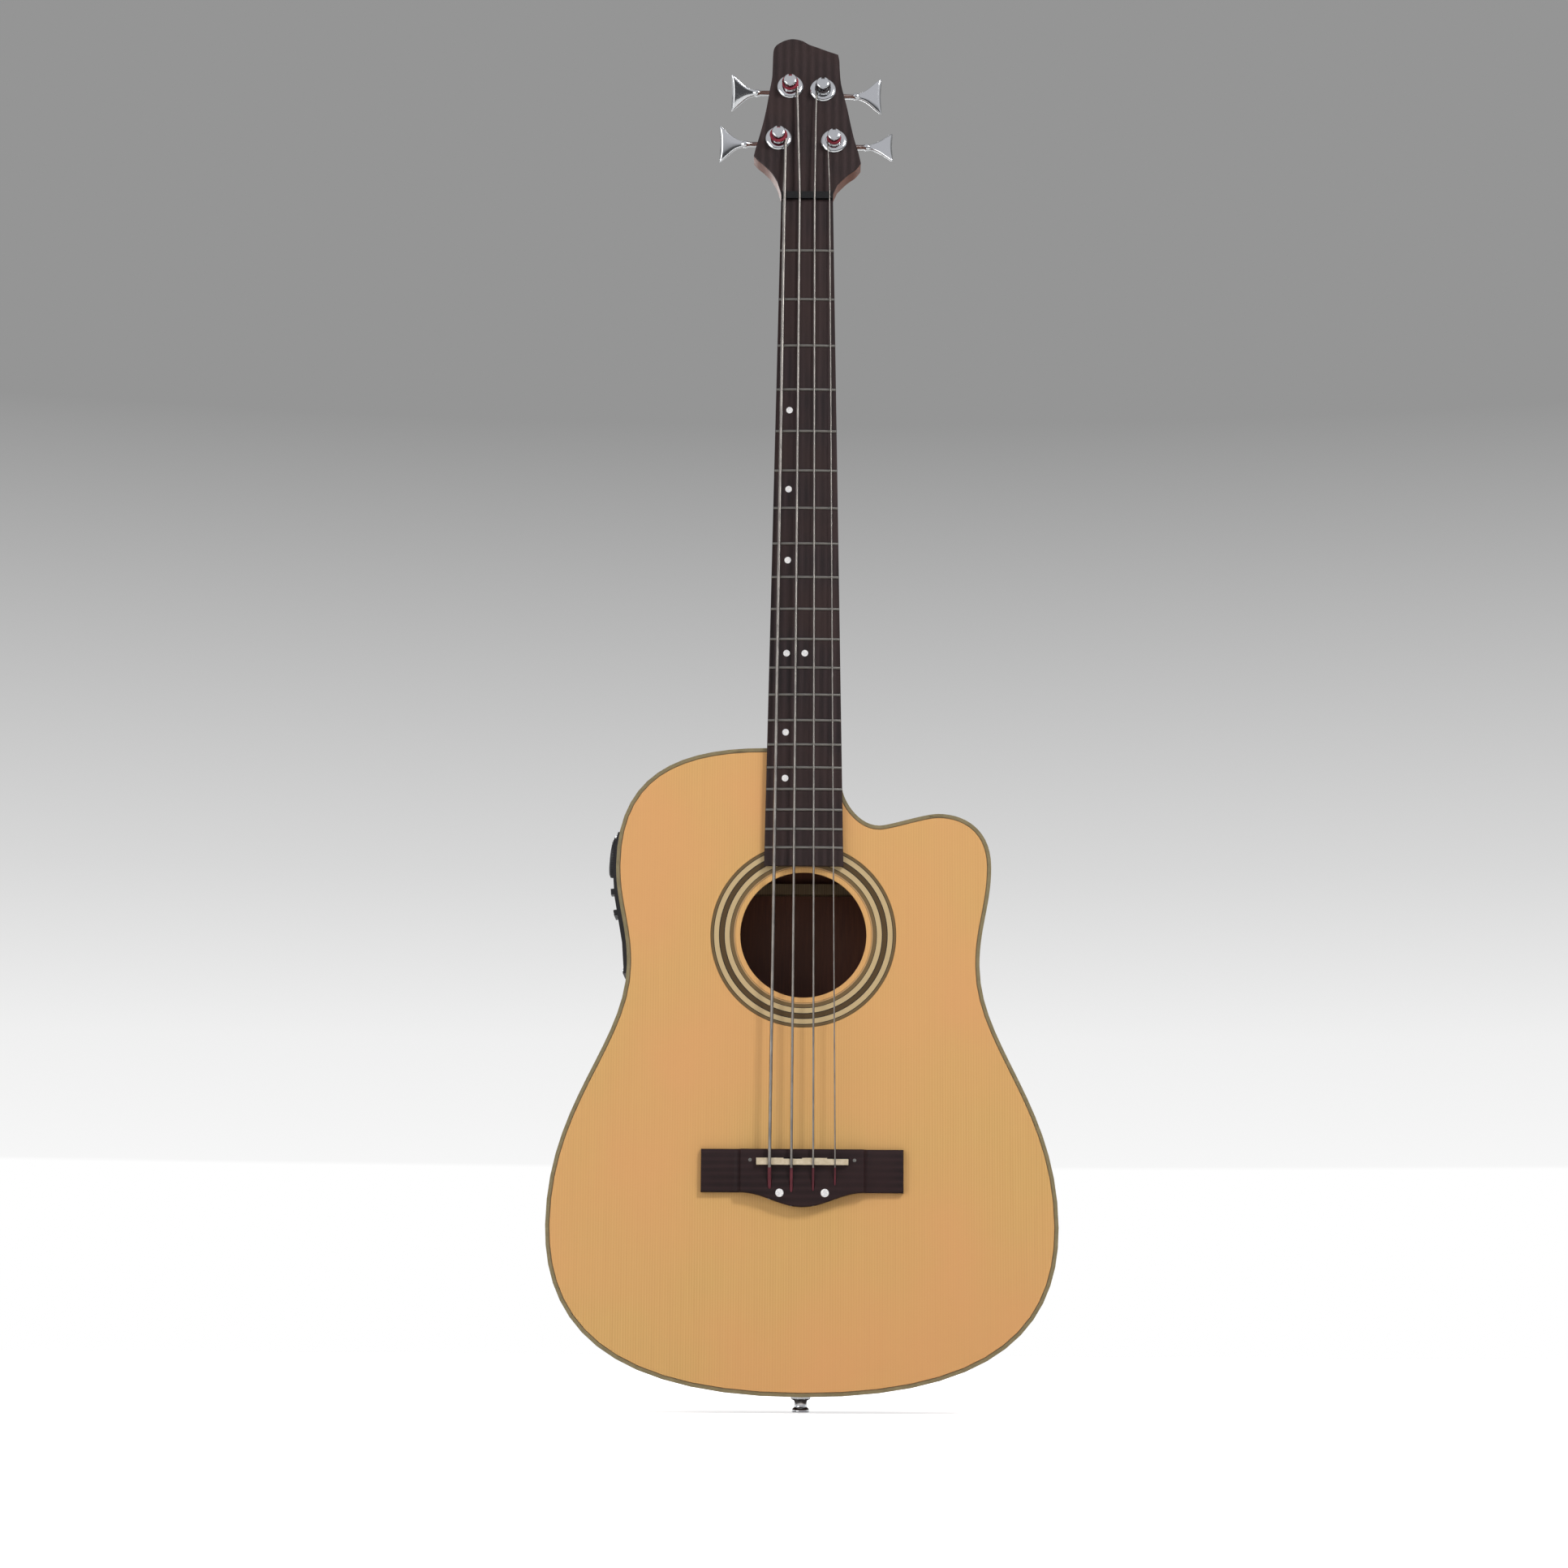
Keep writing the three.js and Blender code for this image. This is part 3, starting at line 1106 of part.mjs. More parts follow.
addSoundboard();
addRim();
addBlocks();
addBraces();
addBridgePlate();
const headGroup = addNeck();
addFretboard();
addNut();
addBridge();
addStrings();
addTuners(headGroup);
addPreamp();
addJack();

export default guitar;
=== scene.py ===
# An acoustic bass guitar with a cutaway body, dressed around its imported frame. Metres, X to the treble side,
# -Y to the front and Z up the neck.
import json
from math import acos, atan2, copysign, cos, hypot, pi, radians, sin, sqrt, tan

import bpy
import bmesh
from mathutils import Matrix, Vector
from mathutils.geometry import tessellate_polygon


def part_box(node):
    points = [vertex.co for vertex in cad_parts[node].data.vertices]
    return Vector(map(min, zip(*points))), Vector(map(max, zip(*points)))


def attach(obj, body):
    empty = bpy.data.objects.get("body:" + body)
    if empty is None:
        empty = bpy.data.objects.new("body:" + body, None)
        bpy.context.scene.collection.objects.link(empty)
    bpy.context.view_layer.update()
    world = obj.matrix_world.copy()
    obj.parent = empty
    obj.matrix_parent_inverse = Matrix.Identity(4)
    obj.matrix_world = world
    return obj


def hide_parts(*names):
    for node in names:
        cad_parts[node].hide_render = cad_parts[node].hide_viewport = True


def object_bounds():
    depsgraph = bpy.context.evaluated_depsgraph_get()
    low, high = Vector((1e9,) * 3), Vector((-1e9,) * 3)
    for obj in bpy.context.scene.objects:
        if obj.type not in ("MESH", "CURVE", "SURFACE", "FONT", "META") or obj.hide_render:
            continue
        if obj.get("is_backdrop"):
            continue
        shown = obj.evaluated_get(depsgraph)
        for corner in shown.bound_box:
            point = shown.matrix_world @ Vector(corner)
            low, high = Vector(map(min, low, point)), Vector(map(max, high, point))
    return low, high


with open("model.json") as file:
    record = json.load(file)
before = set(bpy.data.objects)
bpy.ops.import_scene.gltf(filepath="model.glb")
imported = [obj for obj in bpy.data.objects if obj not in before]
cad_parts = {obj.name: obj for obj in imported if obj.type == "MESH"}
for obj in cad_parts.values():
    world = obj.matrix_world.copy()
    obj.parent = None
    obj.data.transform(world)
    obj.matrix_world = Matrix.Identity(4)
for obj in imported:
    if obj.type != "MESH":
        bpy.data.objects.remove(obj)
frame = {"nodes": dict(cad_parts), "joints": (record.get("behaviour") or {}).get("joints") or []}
cad_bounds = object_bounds()
nodes = frame["nodes"]

# Top of the body: two book-matched halves of quartersawn spruce, 3 mm thick, glued on the centreline. The
# outline is band-sawn, the soundhole is cut with a circle cutter, and a satin lacquer seals the face.
rim_low, rim_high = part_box("top_binding")
top_back_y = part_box("soundboard")[1].y
board_low, board_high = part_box("fretboard")
nut_low, nut_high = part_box("nut")
front_y, body_length = rim_low.y, rim_high.z
lower_half, waist_half, upper_half = rim_high.x, 0.1438, 0.1538
horn_reach_share, scoop_reach_share = 0.72, 0.25
edge_gap = 0.0003
binding_width = 0.0032
curve_steps = 14


def mix(a, b, share):
    return a + (b - a) * share


def half_at(z):
    """Half the width of the neck at one height."""
    return mix(board_high.x, nut_high.x, (z - board_low.z) / (nut_low.z - board_low.z))


def stretch(start, end, ways, shares):
    """A curved stretch of the outline, without its first point. Each handle leaves its end along X (0) or
    Z (1), by a share of the way to the other end."""
    handles = [list(start), list(end)]
    for handle, far, way, share in zip(handles, (end, start), ways, shares):
        handle[way] = mix(handle[way], far[way], share)
    spots = (start, *handles, end)
    points = []
    for step in range(1, curve_steps + 1):
        t = step / curve_steps
        weights = ((1 - t) ** 3, 3 * t * (1 - t) ** 2, 3 * t ** 2 * (1 - t), t ** 3)
        points.append(Vector([sum(w * spot[way] for w, spot in zip(weights, spots)) for way in (0, 1)]))
    return points


def through(knots):
    """The line through knots, each a place with the ways and shares of the stretch that leads to it."""
    return [point for (start, *_), (end, ways, shares) in zip(knots, knots[1:])
            for point in stretch(start, end, ways, shares)]


def body_outline():
    """The rim as seen from the front, counter-clockwise from the tail, in the X-Z plane."""
    level_shares = (0.2567, 0.658, 0.814, 0.897, 0.878, 0.939)
    lower_z, waist_z, upper_z, horn_z, scoop_z, edge_z = (body_length * share for share in level_shares)
    neck_half, edge_half = half_at(body_length), half_at(edge_z)
    horn_x, scoop_x = upper_half * horn_reach_share, mix(edge_half, upper_half, scoop_reach_share)
    flank = [((0, 0),), ((lower_half, lower_z), (0, 1), (0.774, 0.563)),
             ((waist_half, waist_z), (1, 1), (0.472, 0.313)), ((upper_half, upper_z), (1, 1), (0.392, 0.383))]
    cutaway = [((horn_x, horn_z), (1, 0), (0.722, 0.492)), ((scoop_x, scoop_z), (0, 0), (0.244, 0.18)),
               ((edge_half, edge_z), (0, 1), (0.599, 0.283))]
    shoulder = [((neck_half, body_length), (1, 0), (0.754, 0.618))]
    bass = [Vector((-point.x, point.y)) for point in through(flank + shoulder)]
    return [Vector((0, 0))] + through(flank + cutaway) + [Vector((neck_half, body_length))] + bass[::-1]


def distance_to(point, a, b):
    along = b - a
    share = max(0.0, min(1.0, (point - a).dot(along) / along.length_squared))
    return (point - a - along * share).length


def inset(points, distance, kept_share=0.97):
    """The outline moved inwards, without the points that would cross over in a tight curve."""
    sides = list(zip(points, points[1:] + points[:1]))
    ways = [(b - a).normalized() for a, b in sides]
    normals = [Vector((-way.y, way.x)) for way in ways]
    moved = [point + (before + after) / (1 + before.dot(after)) * distance
             for point, before, after in zip(points, normals[-1:] + normals, normals)]
    return [p for p in moved if all(distance_to(p, a, b) >= abs(distance) * kept_share for a, b in sides)]


def circle(x, z, radius, sides=96):
    angles = [2 * pi * i / sides for i in range(sides)]
    return [Vector((x + radius * cos(a), z + radius * sin(a))) for a in angles]


def put(name, data):
    """An object in the scene."""
    thing = bpy.data.objects.new(name, data)
    bpy.context.scene.collection.objects.link(thing)
    return thing


def build(name, corners, faces, material, body="root", smooth_degrees=35):
    """A mesh object at the origin whose place is in its corners, riding on a body if one is named."""
    mesh = bpy.data.meshes.new(name)
    mesh.from_pydata([tuple(c) for c in corners], [], faces)
    shape = bmesh.new()
    shape.from_mesh(mesh)
    bmesh.ops.remove_doubles(shape, verts=shape.verts, dist=1e-7)
    bmesh.ops.recalc_face_normals(shape, faces=shape.faces)
    shape.to_mesh(mesh)
    shape.free()
    mesh.shade_smooth()
    mesh.set_sharp_from_angle(angle=radians(smooth_degrees))
    if material:
        mesh.materials.append(material)
    piece = put(name, mesh)
    if body:
        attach(piece, body)
    return piece


def plate(name, outline, holes, back, front, material):
    """A plate in the X-Z plane between two faces, each at one Y or at a Y that changes with height."""
    faces_at = [face if callable(face) else (lambda z, y=face: y) for face in (front, back)]
    loops = [outline] + holes
    flat = [p for loop in loops for p in loop]
    caps = tessellate_polygon([[Vector((p.x, p.y, 0)) for p in loop] for loop in loops])
    count = len(flat)
    corners = [Vector((p.x, face_at(p.y), p.y)) for face_at in faces_at for p in flat]
    faces = [tuple(face) for face in caps] + [tuple(i + count for i in reversed(face)) for face in caps]
    start = 0
    for loop in loops:
        for i in range(len(loop)):
            a, b = start + i, start + (i + 1) % len(loop)
            faces.append((a, b, b + count, a + count))
        start += len(loop)
    return build(name, corners, faces, material)


def stand_for(node, finish, *pieces):
    """Hides a node of the frame that the pieces stand in for; the finish is not used."""
    for piece in pieces:
        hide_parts(node)


def linear(code):
    """The linear colour of an sRGB hex value."""
    parts = [int(code[i:i + 2], 16) / 255 for i in (1, 3, 5)]
    return [p / 12.92 if p <= 0.04045 else ((p + 0.055) / 1.055) ** 2.4 for p in parts] + [1]


def join(tree, node, inputs):
    """Sets a node's inputs, each to a plain value, a socket or the first output of another node."""
    for key, source in dict(inputs).items():
        if isinstance(source, bpy.types.Node):
            source = source.outputs[0]
        if isinstance(source, bpy.types.NodeSocket):
            tree.links.new(source, node.inputs[key])
        else:
            node.inputs[key].default_value = source


def add_node(tree, kind, inputs=(), **settings):
    """A node with its settings, and its inputs set or linked."""
    node = tree.nodes.new(kind)
    for key, value in settings.items():
        setattr(node, key, value)
    join(tree, node, inputs)
    return node


def new_material(name, values):
    """A material with its shader's fixed sockets set, and the place on the piece that its patterns read."""
    material = bpy.data.materials.new(name)
    material.use_nodes = True
    tree = material.node_tree
    shader = tree.nodes["Principled BSDF"]
    join(tree, shader, values)
    return material, tree, shader, add_node(tree, "ShaderNodeTexCoord").outputs["Object"]


def set_ramp(node, stops):
    """Colour stops on a ramp, each a place and a hex value."""
    ramp = node.color_ramp
    while len(ramp.elements) < len(stops):
        ramp.elements.new(0.5)
    for element, (place, code) in zip(ramp.elements, stops):
        element.position = place
        element.color = linear(code)
    return node


# A wave texture of scale 1 repeats at this length in metres.
wave_length = 0.314


def grained_wood(name, stops, ring, fibre, patch, relief, finish, turn=(0, 0, 0), waver=(2.5, 0.12),
                 fibre_share=0.6):
    """Wood whose grain runs along the mapped Z: growth lines of one spacing that waver so far and so finely,
    fibres or pores of one width and length, patches of one size, colour and share, and a finish over it."""
    material, tree, shader, place = new_material(name, finish)
    width, length = fibre
    patch_size, patch_code, patch_share = patch
    turned = add_node(tree, "ShaderNodeMapping", {"Vector": place, "Rotation": turn})
    slow = add_node(tree, "ShaderNodeTexNoise", {"Vector": turned, "Scale": 1 / patch_size})
    squeezed = add_node(tree, "ShaderNodeMapping", {"Vector": turned,
                                                    "Scale": (1 / width, 1 / width, 1 / length)})
    pores = add_node(tree, "ShaderNodeTexNoise", {"Vector": squeezed, "Scale": 1.0, "Detail": 4.0,
                                                  "Roughness": 0.6})
    drawn_out = add_node(tree, "ShaderNodeMapping", {"Vector": turned, "Scale": (1, 1, 0.2)})
    lines = add_node(tree, "ShaderNodeTexWave", {"Vector": drawn_out, "Scale": wave_length / ring,
                                                 "Distortion": waver[0], "Detail Scale": waver[1]})
    both = add_node(tree, "ShaderNodeMix", {0: fibre_share, 2: lines.outputs["Fac"], 3: pores},
                    data_type="FLOAT")
    tones = set_ramp(add_node(tree, "ShaderNodeValToRGB", {"Fac": both}), stops)
    veil = add_node(tree, "ShaderNodeMapRange", {"Value": slow, "From Min": 0.35, "From Max": 0.65,
                                                 "To Max": patch_share})
    tinted = add_node(tree, "ShaderNodeMix", {0: veil, 6: tones, 7: linear(patch_code)}, data_type="RGBA")
    bump = add_node(tree, "ShaderNodeBump", {"Height": pores, "Distance": relief, "Strength": 0.6})
    join(tree, shader, {"Base Color": tinted.outputs[2], "Normal": bump})
    return material


# Satin lacquer over spruce gives a honey colour, thin upright growth lines and a soft broad shine.
spruce = grained_wood(
    "satin_lacquered_spruce", [(0.2, "#C4975A"), (0.5, "#CB9F5F"), (0.8, "#D0A566")], ring=0.0021,
    fibre=(0.0009, 0.09), patch=(0.14, "#D39A62", 0.8), relief=0.00002,
    finish={"Roughness": 0.5, "Specular IOR Level": 0.35, "Coat Weight": 0.15, "Coat Roughness": 0.3})
outline = body_outline()
hole_low, hole_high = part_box("rosette")
hole_x, hole_z = (hole_low.x + hole_high.x) / 2, (hole_low.z + hole_high.z) / 2
rosette_outer = (hole_high.x - hole_low.x) / 2
rosette_width, soundhole_radius = 0.0196, 0.0516
rosette_inner, groove_y = rosette_outer - rosette_width, hole_high.y + edge_gap
core = inset(outline, binding_width + edge_gap)
at_hole = lambda radius: circle(hole_x, hole_z, radius)
for name, edge, inner, face_y in (
        ("soundboard_field", core, rosette_outer + edge_gap, front_y),
        ("soundboard_hole_ring", at_hole(rosette_inner - edge_gap), soundhole_radius, front_y),
        ("soundboard_groove", at_hole(rosette_outer + edge_gap), rosette_inner - edge_gap, groove_y)):
    stand_for("soundboard", "spruce", plate(name, edge, [at_hole(inner)], top_back_y, face_y, spruce))

# Rosette: rings of dyed wood veneer let into a groove round the soundhole and levelled flush with the top.
# From the hole outwards it is olive, cream, dark brown, cream and olive, with black lines between.
rosette_rings = [(0.0, "#BC9466"), (0.0007, "#6A5433"), (0.0036, "#2A1E10"), (0.0041, "#BCA47A"),
                 (0.0081, "#20160C"), (0.0088, "#4A3618"), (0.0122, "#20160C"), (0.0129, "#BCA47A"),
                 (0.0169, "#2A1E10"), (0.0175, "#655030")]
# Dyed veneer rings read as flat crisp bands under the same lacquer as the top.
ring_veneer, tree, shader, place = new_material("dyed_veneer_rings", {
    "Roughness": 0.5, "Specular IOR Level": 0.3, "Coat Weight": 0.1, "Coat Roughness": 0.3})
centred = add_node(tree, "ShaderNodeMapping", {"Vector": place, "Location": (-hole_x, 0, -hole_z),
                                               "Scale": (1, 0, 1)})
reach = add_node(tree, "ShaderNodeVectorMath", {0: centred}, operation="LENGTH")
across = add_node(tree, "ShaderNodeMapRange", {"Value": reach.outputs["Value"], "From Min": rosette_inner,
                                               "From Max": rosette_outer})
bands = add_node(tree, "ShaderNodeValToRGB", {"Fac": across})
bands.color_ramp.interpolation = "CONSTANT"
set_ramp(bands, [(start / rosette_width, code) for start, code in rosette_rings])
join(tree, shader, {"Base Color": bands})
stand_for("rosette", "inlay", plate("rosette_rings", at_hole(rosette_outer), [at_hole(rosette_inner)],
                                    hole_high.y, front_y, ring_veneer))

# Binding: a strip of olive plastic glued into a rabbet round both edges of the body, with a dark line inside
# it. It is bent with heat, taped on while the glue dries, then scraped flush.
back_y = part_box("back_binding")[1].y
heel_back_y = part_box("neck")[1].y
back_at = lambda z: mix(back_y, heel_back_y, z / body_length)
binding_depth = rim_high.y - front_y
line_width, corner_radius = 0.0005, 0.0007


def mottled(name, codes, finish, size, relief=0, margin=0.3, **texture):
    """A surface in two tones that change over one size, with that grain raised in it where it has relief."""
    material, tree, shader, place = new_material(name, finish)
    grain = add_node(tree, "ShaderNodeTexNoise", {"Vector": place, "Scale": 1 / size, **texture})
    tones = add_node(tree, "ShaderNodeValToRGB", {"Fac": grain})
    join(tree, shader, {"Base Color": set_ramp(tones, [(margin, codes[0]), (1 - margin, codes[1])])})
    if relief:
        bump = add_node(tree, "ShaderNodeBump", {"Height": grain, "Distance": relief, "Strength": 0.5})
        join(tree, shader, {"Normal": bump})
    return material


# Celluloid binding is smooth and slightly glossy, a greyed olive; the line inside it is brown veneer.
binding_plastic = mottled("celluloid_binding", ("#766A4C", "#857858"),
                          {"Roughness": 0.38, "Specular IOR Level": 0.4}, 1 / 160, Detail=3.0)
veneer_line = mottled("brown_veneer_line", ("#6B5738", "#7D6644"), {"Roughness": 0.45}, 1 / 220)
line_outer, line_inner = inset(outline, binding_width - line_width), inset(outline, binding_width)
for side, face, deep in (("top", front_y, front_y + binding_depth),
                         ("back", lambda z: back_at(z) - binding_depth, back_at)):
    strip = plate(f"{side}_binding_strip", outline, [line_outer], deep, face, binding_plastic)
    line = plate(f"{side}_binding_line", line_outer, [line_inner], deep, face, veneer_line)
    round_off = strip.modifiers.new("rounded_edge", "BEVEL")
    round_off.width = corner_radius
    round_off.segments = 2
    round_off.limit_method = "ANGLE"
    round_off.angle_limit = radians(60)
    stand_for(f"{side}_binding", "inlay", strip, line)

# Sides and back: thin mahogany, the sides bent over a hot pipe and the back joined in two flat halves.
# Both are filled, stained red-brown and lacquered.
side_thickness, back_thickness = 0.0025, 0.003
barrel_radius = 0.0061
# Stained mahogany shows short dark pores along the grain and a wavering ribbon of lighter wood.
mahogany, side_mahogany = [
    grained_wood(name, [(0.25, "#54291A"), (0.5, "#64331E"), (0.75, "#744027")], ring=0.018,
                 fibre=(0.0013, 0.035), patch=(0.11, "#774528", 0.5), relief=0.00003,
                 turn=(0, 0, radians(turn_degrees)), waver=(9.0, 0.5), fibre_share=0.92,
                 finish={"Roughness": 0.5, "Specular IOR Level": 0.3, "Coat Weight": 0.12,
                         "Coat Roughness": 0.3})
    for name, turn_degrees in (("stained_mahogany", 0), ("stained_mahogany_sides", 90))]


def bake(piece, smooth_degrees):
    """Gives a piece what its modifiers made as its plain mesh."""
    bpy.context.view_layer.update()
    made = bpy.data.meshes.new_from_object(piece.evaluated_get(bpy.context.evaluated_depsgraph_get()))
    piece.modifiers.clear()
    piece.data = made
    made.shade_smooth()
    made.set_sharp_from_angle(angle=radians(smooth_degrees))


def hollow(piece, *cutters):
    """Cuts the cutters out of a piece and takes them away."""
    for cutter in cutters:
        cut = piece.modifiers.new("cut", "BOOLEAN")
        cut.object = cutter
        cut.solver = "EXACT"
    bake(piece, 35)
    for cutter in cutters:
        bpy.data.objects.remove(cutter)


def block(name, low, high, material=None):
    """A plain box between two corners, on no body."""
    corners = [(x, y, z) for x in (low[0], high[0]) for y in (low[1], high[1]) for z in (low[2], high[2])]
    faces = [(0, 1, 3, 2), (4, 6, 7, 5), (0, 4, 5, 1), (2, 3, 7, 6), (0, 2, 6, 4), (1, 5, 7, 3)]
    return build(name, corners, faces, material, None)


def skin(name, rings, material, body="root", smooth_degrees=35, looped=False):
    """A closed skin through rings of equal count, capped at both ends or joined end to end."""
    count, last = len(rings[0]), len(rings) - 1
    faces = []
    for row in range(last + 1 if looped else last):
        ahead = (row + 1) % (last + 1) * count
        for i in range(count):
            a, b = i, (i + 1) % count
            faces.append((a + row * count, b + row * count, b + ahead, a + ahead))
    if not looped:
        faces += [tuple(range(count)), tuple(range(last * count, (last + 1) * count))]
    return build(name, [c for ring in rings for c in ring], faces, material, body, smooth_degrees)


def drill(start, end, radius, sides=24):
    """A round cutter between two points."""
    start, end = Vector(start), Vector(end)
    turn = (end - start).to_track_quat("Z", "Y").to_matrix()
    ring = [turn @ Vector((spot.x, spot.y, 0)) for spot in circle(0, 0, radius, sides)]
    return skin("drill", [[point + c for c in ring] for point in (start, end)], None, None, 45)


rim_wall = plate("sides_wall", outline, [inset(outline, side_thickness)],
                 lambda z: back_at(z) - binding_depth - edge_gap, front_y + binding_depth + edge_gap,
                 side_mahogany)
opening_low, opening_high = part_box("preamp_housing")
hollow(rim_wall,
       block("opening", (-lower_half, opening_low.y - edge_gap, opening_low.z - edge_gap),
             (-waist_half / 2, opening_high.y + edge_gap, opening_high.z + edge_gap)),
       drill((0, 0, -body_length / 2), (0, 0, body_length / 2), barrel_radius, 32))
back_plate = plate("back_plate", core, [], back_at, lambda z: back_at(z) - back_thickness, mahogany)
stand_for("sides", "mahogany", rim_wall)
stand_for("back", "mahogany", back_plate)

# Neck: one length of mahogany from the heel to the nut, carved to a rounded back, with the head joined on
# behind the nut in a scarf joint and leant back.
nut_z, pivot_z = nut_low.z, nut_high.z
nut_half, end_half = nut_high.x, board_high.x
shaft_depth_at_nut, shaft_depth_at_heel = 0.020, 0.025
heel_rise, heel_cap_length, heel_cap_half = 0.062, 0.014, 0.013
belly_power, cap_flat_share, heel_power = 2.4, 0.985, 2.6
head_length, head_half, head_thickness = 0.150, 0.0458, 0.014
head_tilt, head_run_share = radians(8), 0.15
head_frame = Matrix.Translation((0, front_y, pivot_z)) @ Matrix.Rotation(-head_tilt, 4, "X")
neck_start = body_length + edge_gap


def neck_section(z, depth, heel_share, half, face_y, steps=16):
    """The outline of the neck at one height: flat in front, rounded behind, squarer at the heel."""
    right = []
    for step in range(steps + 1):
        share = sin(pi / 2 * step / steps)
        rounded = half * sqrt(1 - share ** belly_power * cap_flat_share)
        right.append((mix(rounded, mix(half, heel_cap_half, share), heel_share), face_y + depth * share, z))
    return right + [(-x, y, z) for x, y, z in reversed(right)]


neck_rings = []
heel_heights = [neck_start + heel_cap_length + heel_rise * step / 12 for step in range(13)]
shaft_heights = [mix(heel_heights[-1], nut_z, step / 6) for step in range(1, 7)]
for z in [neck_start] + heel_heights + shaft_heights + [pivot_z]:
    rise = max(0, 1 - max(0, z - neck_start - heel_cap_length) / heel_rise) ** heel_power
    plain = mix(shaft_depth_at_heel, shaft_depth_at_nut, (z - neck_start) / (nut_z - neck_start))
    depth = mix(plain, heel_back_y - front_y, rise)
    neck_rings.append(neck_section(z, depth, sqrt(rise), half_at(z), front_y))
for step in range(1, 6):
    run = head_length * head_run_share * step / 5
    depth = mix(shaft_depth_at_nut, head_thickness - 2 * edge_gap, sin(pi / 2 * step / 5))
    face_y = front_y + run * tan(head_tilt) + edge_gap
    neck_rings.append(neck_section(pivot_z + run, depth, 0, half_at(nut_z) - edge_gap, face_y))
stand_for("neck", "mahogany", skin("neck_shaft", neck_rings, mahogany))

# Head: mahogany 14 mm thick with a rosewood veneer on its face, sawn to a flowing outline with two low ears.
# The veneer is glued on before the outline and the four post holes are cut.
head_shares = [
    (0.563, 0.062), (0.668, 0.098), (0.771, 0.129), (0.902, 0.16), (1, 0.2), (0.95, 0.271),
    (0.882, 0.345), (0.817, 0.436), (0.749, 0.546), (0.681, 0.637), (0.629, 0.711), (0.607, 0.794),
    (0.598, 0.858), (0.574, 0.899), (0.365, 0.923), (0.186, 0.945), (0.028, 0.964), (-0.1, 0.988),
    (-0.265, 1), (-0.4, 0.993), (-0.53, 0.973), (-0.61, 0.95), (-0.648, 0.913), (-0.658, 0.821),
    (-0.668, 0.747), (-0.71, 0.665), (-0.765, 0.554), (-0.822, 0.463), (-0.893, 0.371), (-0.956, 0.299),
    (-0.996, 0.244), (-0.919, 0.217), (-0.786, 0.18), (-0.657, 0.135), (-0.555, 0.08),
]
corner_points = {4, 13, 30}
veneer_thickness = 0.0016
veneer_front = -edge_gap - veneer_thickness


def flowing(points, corners, steps=4):
    """A smooth line through the points, which keeps its corners sharp."""
    line = []
    for i in range(len(points) - 1):
        a, b = points[i], points[i + 1]
        before = a if i == 0 or i in corners else points[i - 1]
        after = b if i + 2 == len(points) or i + 1 in corners else points[i + 2]
        for step in range(steps):
            t = step / steps
            line.append(0.5 * (2 * a + (b - before) * t + (2 * before - 5 * a + 4 * b - after) * t * t
                               + (3 * a - before - 3 * b + after) * t ** 3))
    return line + [points[-1]]


def head_outline(start):
    """The head as seen square on, from one level above the nut."""
    half = half_at(pivot_z)
    flow = flowing([Vector((x * head_half, z * head_length)) for x, z in head_shares], corner_points)
    return [Vector((half, start))] + flow + [Vector((-half, start))]


# Rosewood shows dark brown streaks with a purplish cast and open pores, and little shine.
rosewood = grained_wood("oiled_rosewood", [(0.25, "#251F20"), (0.5, "#2E2627"), (0.78, "#3A3031")],
                        ring=0.007, fibre=(0.0010, 0.035), patch=(0.05, "#3A2C2A", 0.6), relief=0.00005,
                        finish={"Roughness": 0.6, "Specular IOR Level": 0.1})
for node, slot, piece in (
        ("neck", "mahogany", plate("head_wood", head_outline(0), [], head_thickness, 0, mahogany)),
        ("headstock_veneer", "rosewood",
         plate("head_veneer", head_outline(edge_gap), [], -edge_gap, veneer_front, rosewood))):
    piece.data.transform(head_frame)
    stand_for(node, slot, piece)

# Fretboard: rosewood planed to a camber, with twenty frets of nickel silver pressed into sawn slots and small
# pearl dots on the bass side.
fret_count, scale_length, camber_radius = 20, 0.8128, 0.305
fret_half_width, fret_height = 0.0012, 0.0011
fretboard_top = board_low.y + fret_height
camber_drop = lambda x: x * x / (2 * camber_radius)
board_rings = []
for z in (board_low.z, nut_z - edge_gap):
    half = half_at(z)
    crown = [mix(half, -half, step / 20) for step in range(21)]
    board_rings.append([(-half, board_high.y, z), (half, board_high.y, z)]
                       + [(x, fretboard_top + camber_drop(x), z) for x in crown])
stand_for("fretboard", "rosewood", skin("fretboard_wood", board_rings, rosewood))


def new_tree(name, floats, **others):
    """A tree that takes a base, a material, named numbers and other inputs; returns it and what feeds it."""
    tree = bpy.data.node_groups.new(name, "GeometryNodeTree")
    kinds = {"Base": "Geometry", "Material": "Material", **dict.fromkeys(floats, "Float"), **others}
    for label, kind in kinds.items():
        tree.interface.new_socket(name=label, in_out="INPUT", socket_type=f"NodeSocket{kind}")
    tree.interface.new_socket(name="Made", in_out="OUTPUT", socket_type="NodeSocketGeometry")
    return tree, tree.nodes.new("NodeGroupInput").outputs


def close_tree(tree, source, material):
    """Realises what the tree made, gives it its material and hands it out."""
    real = add_node(tree, "GeometryNodeRealizeInstances", {0: source})
    painted = add_node(tree, "GeometryNodeSetMaterial", {"Geometry": real, "Material": material})
    add_node(tree, "NodeGroupOutput", {0: painted})


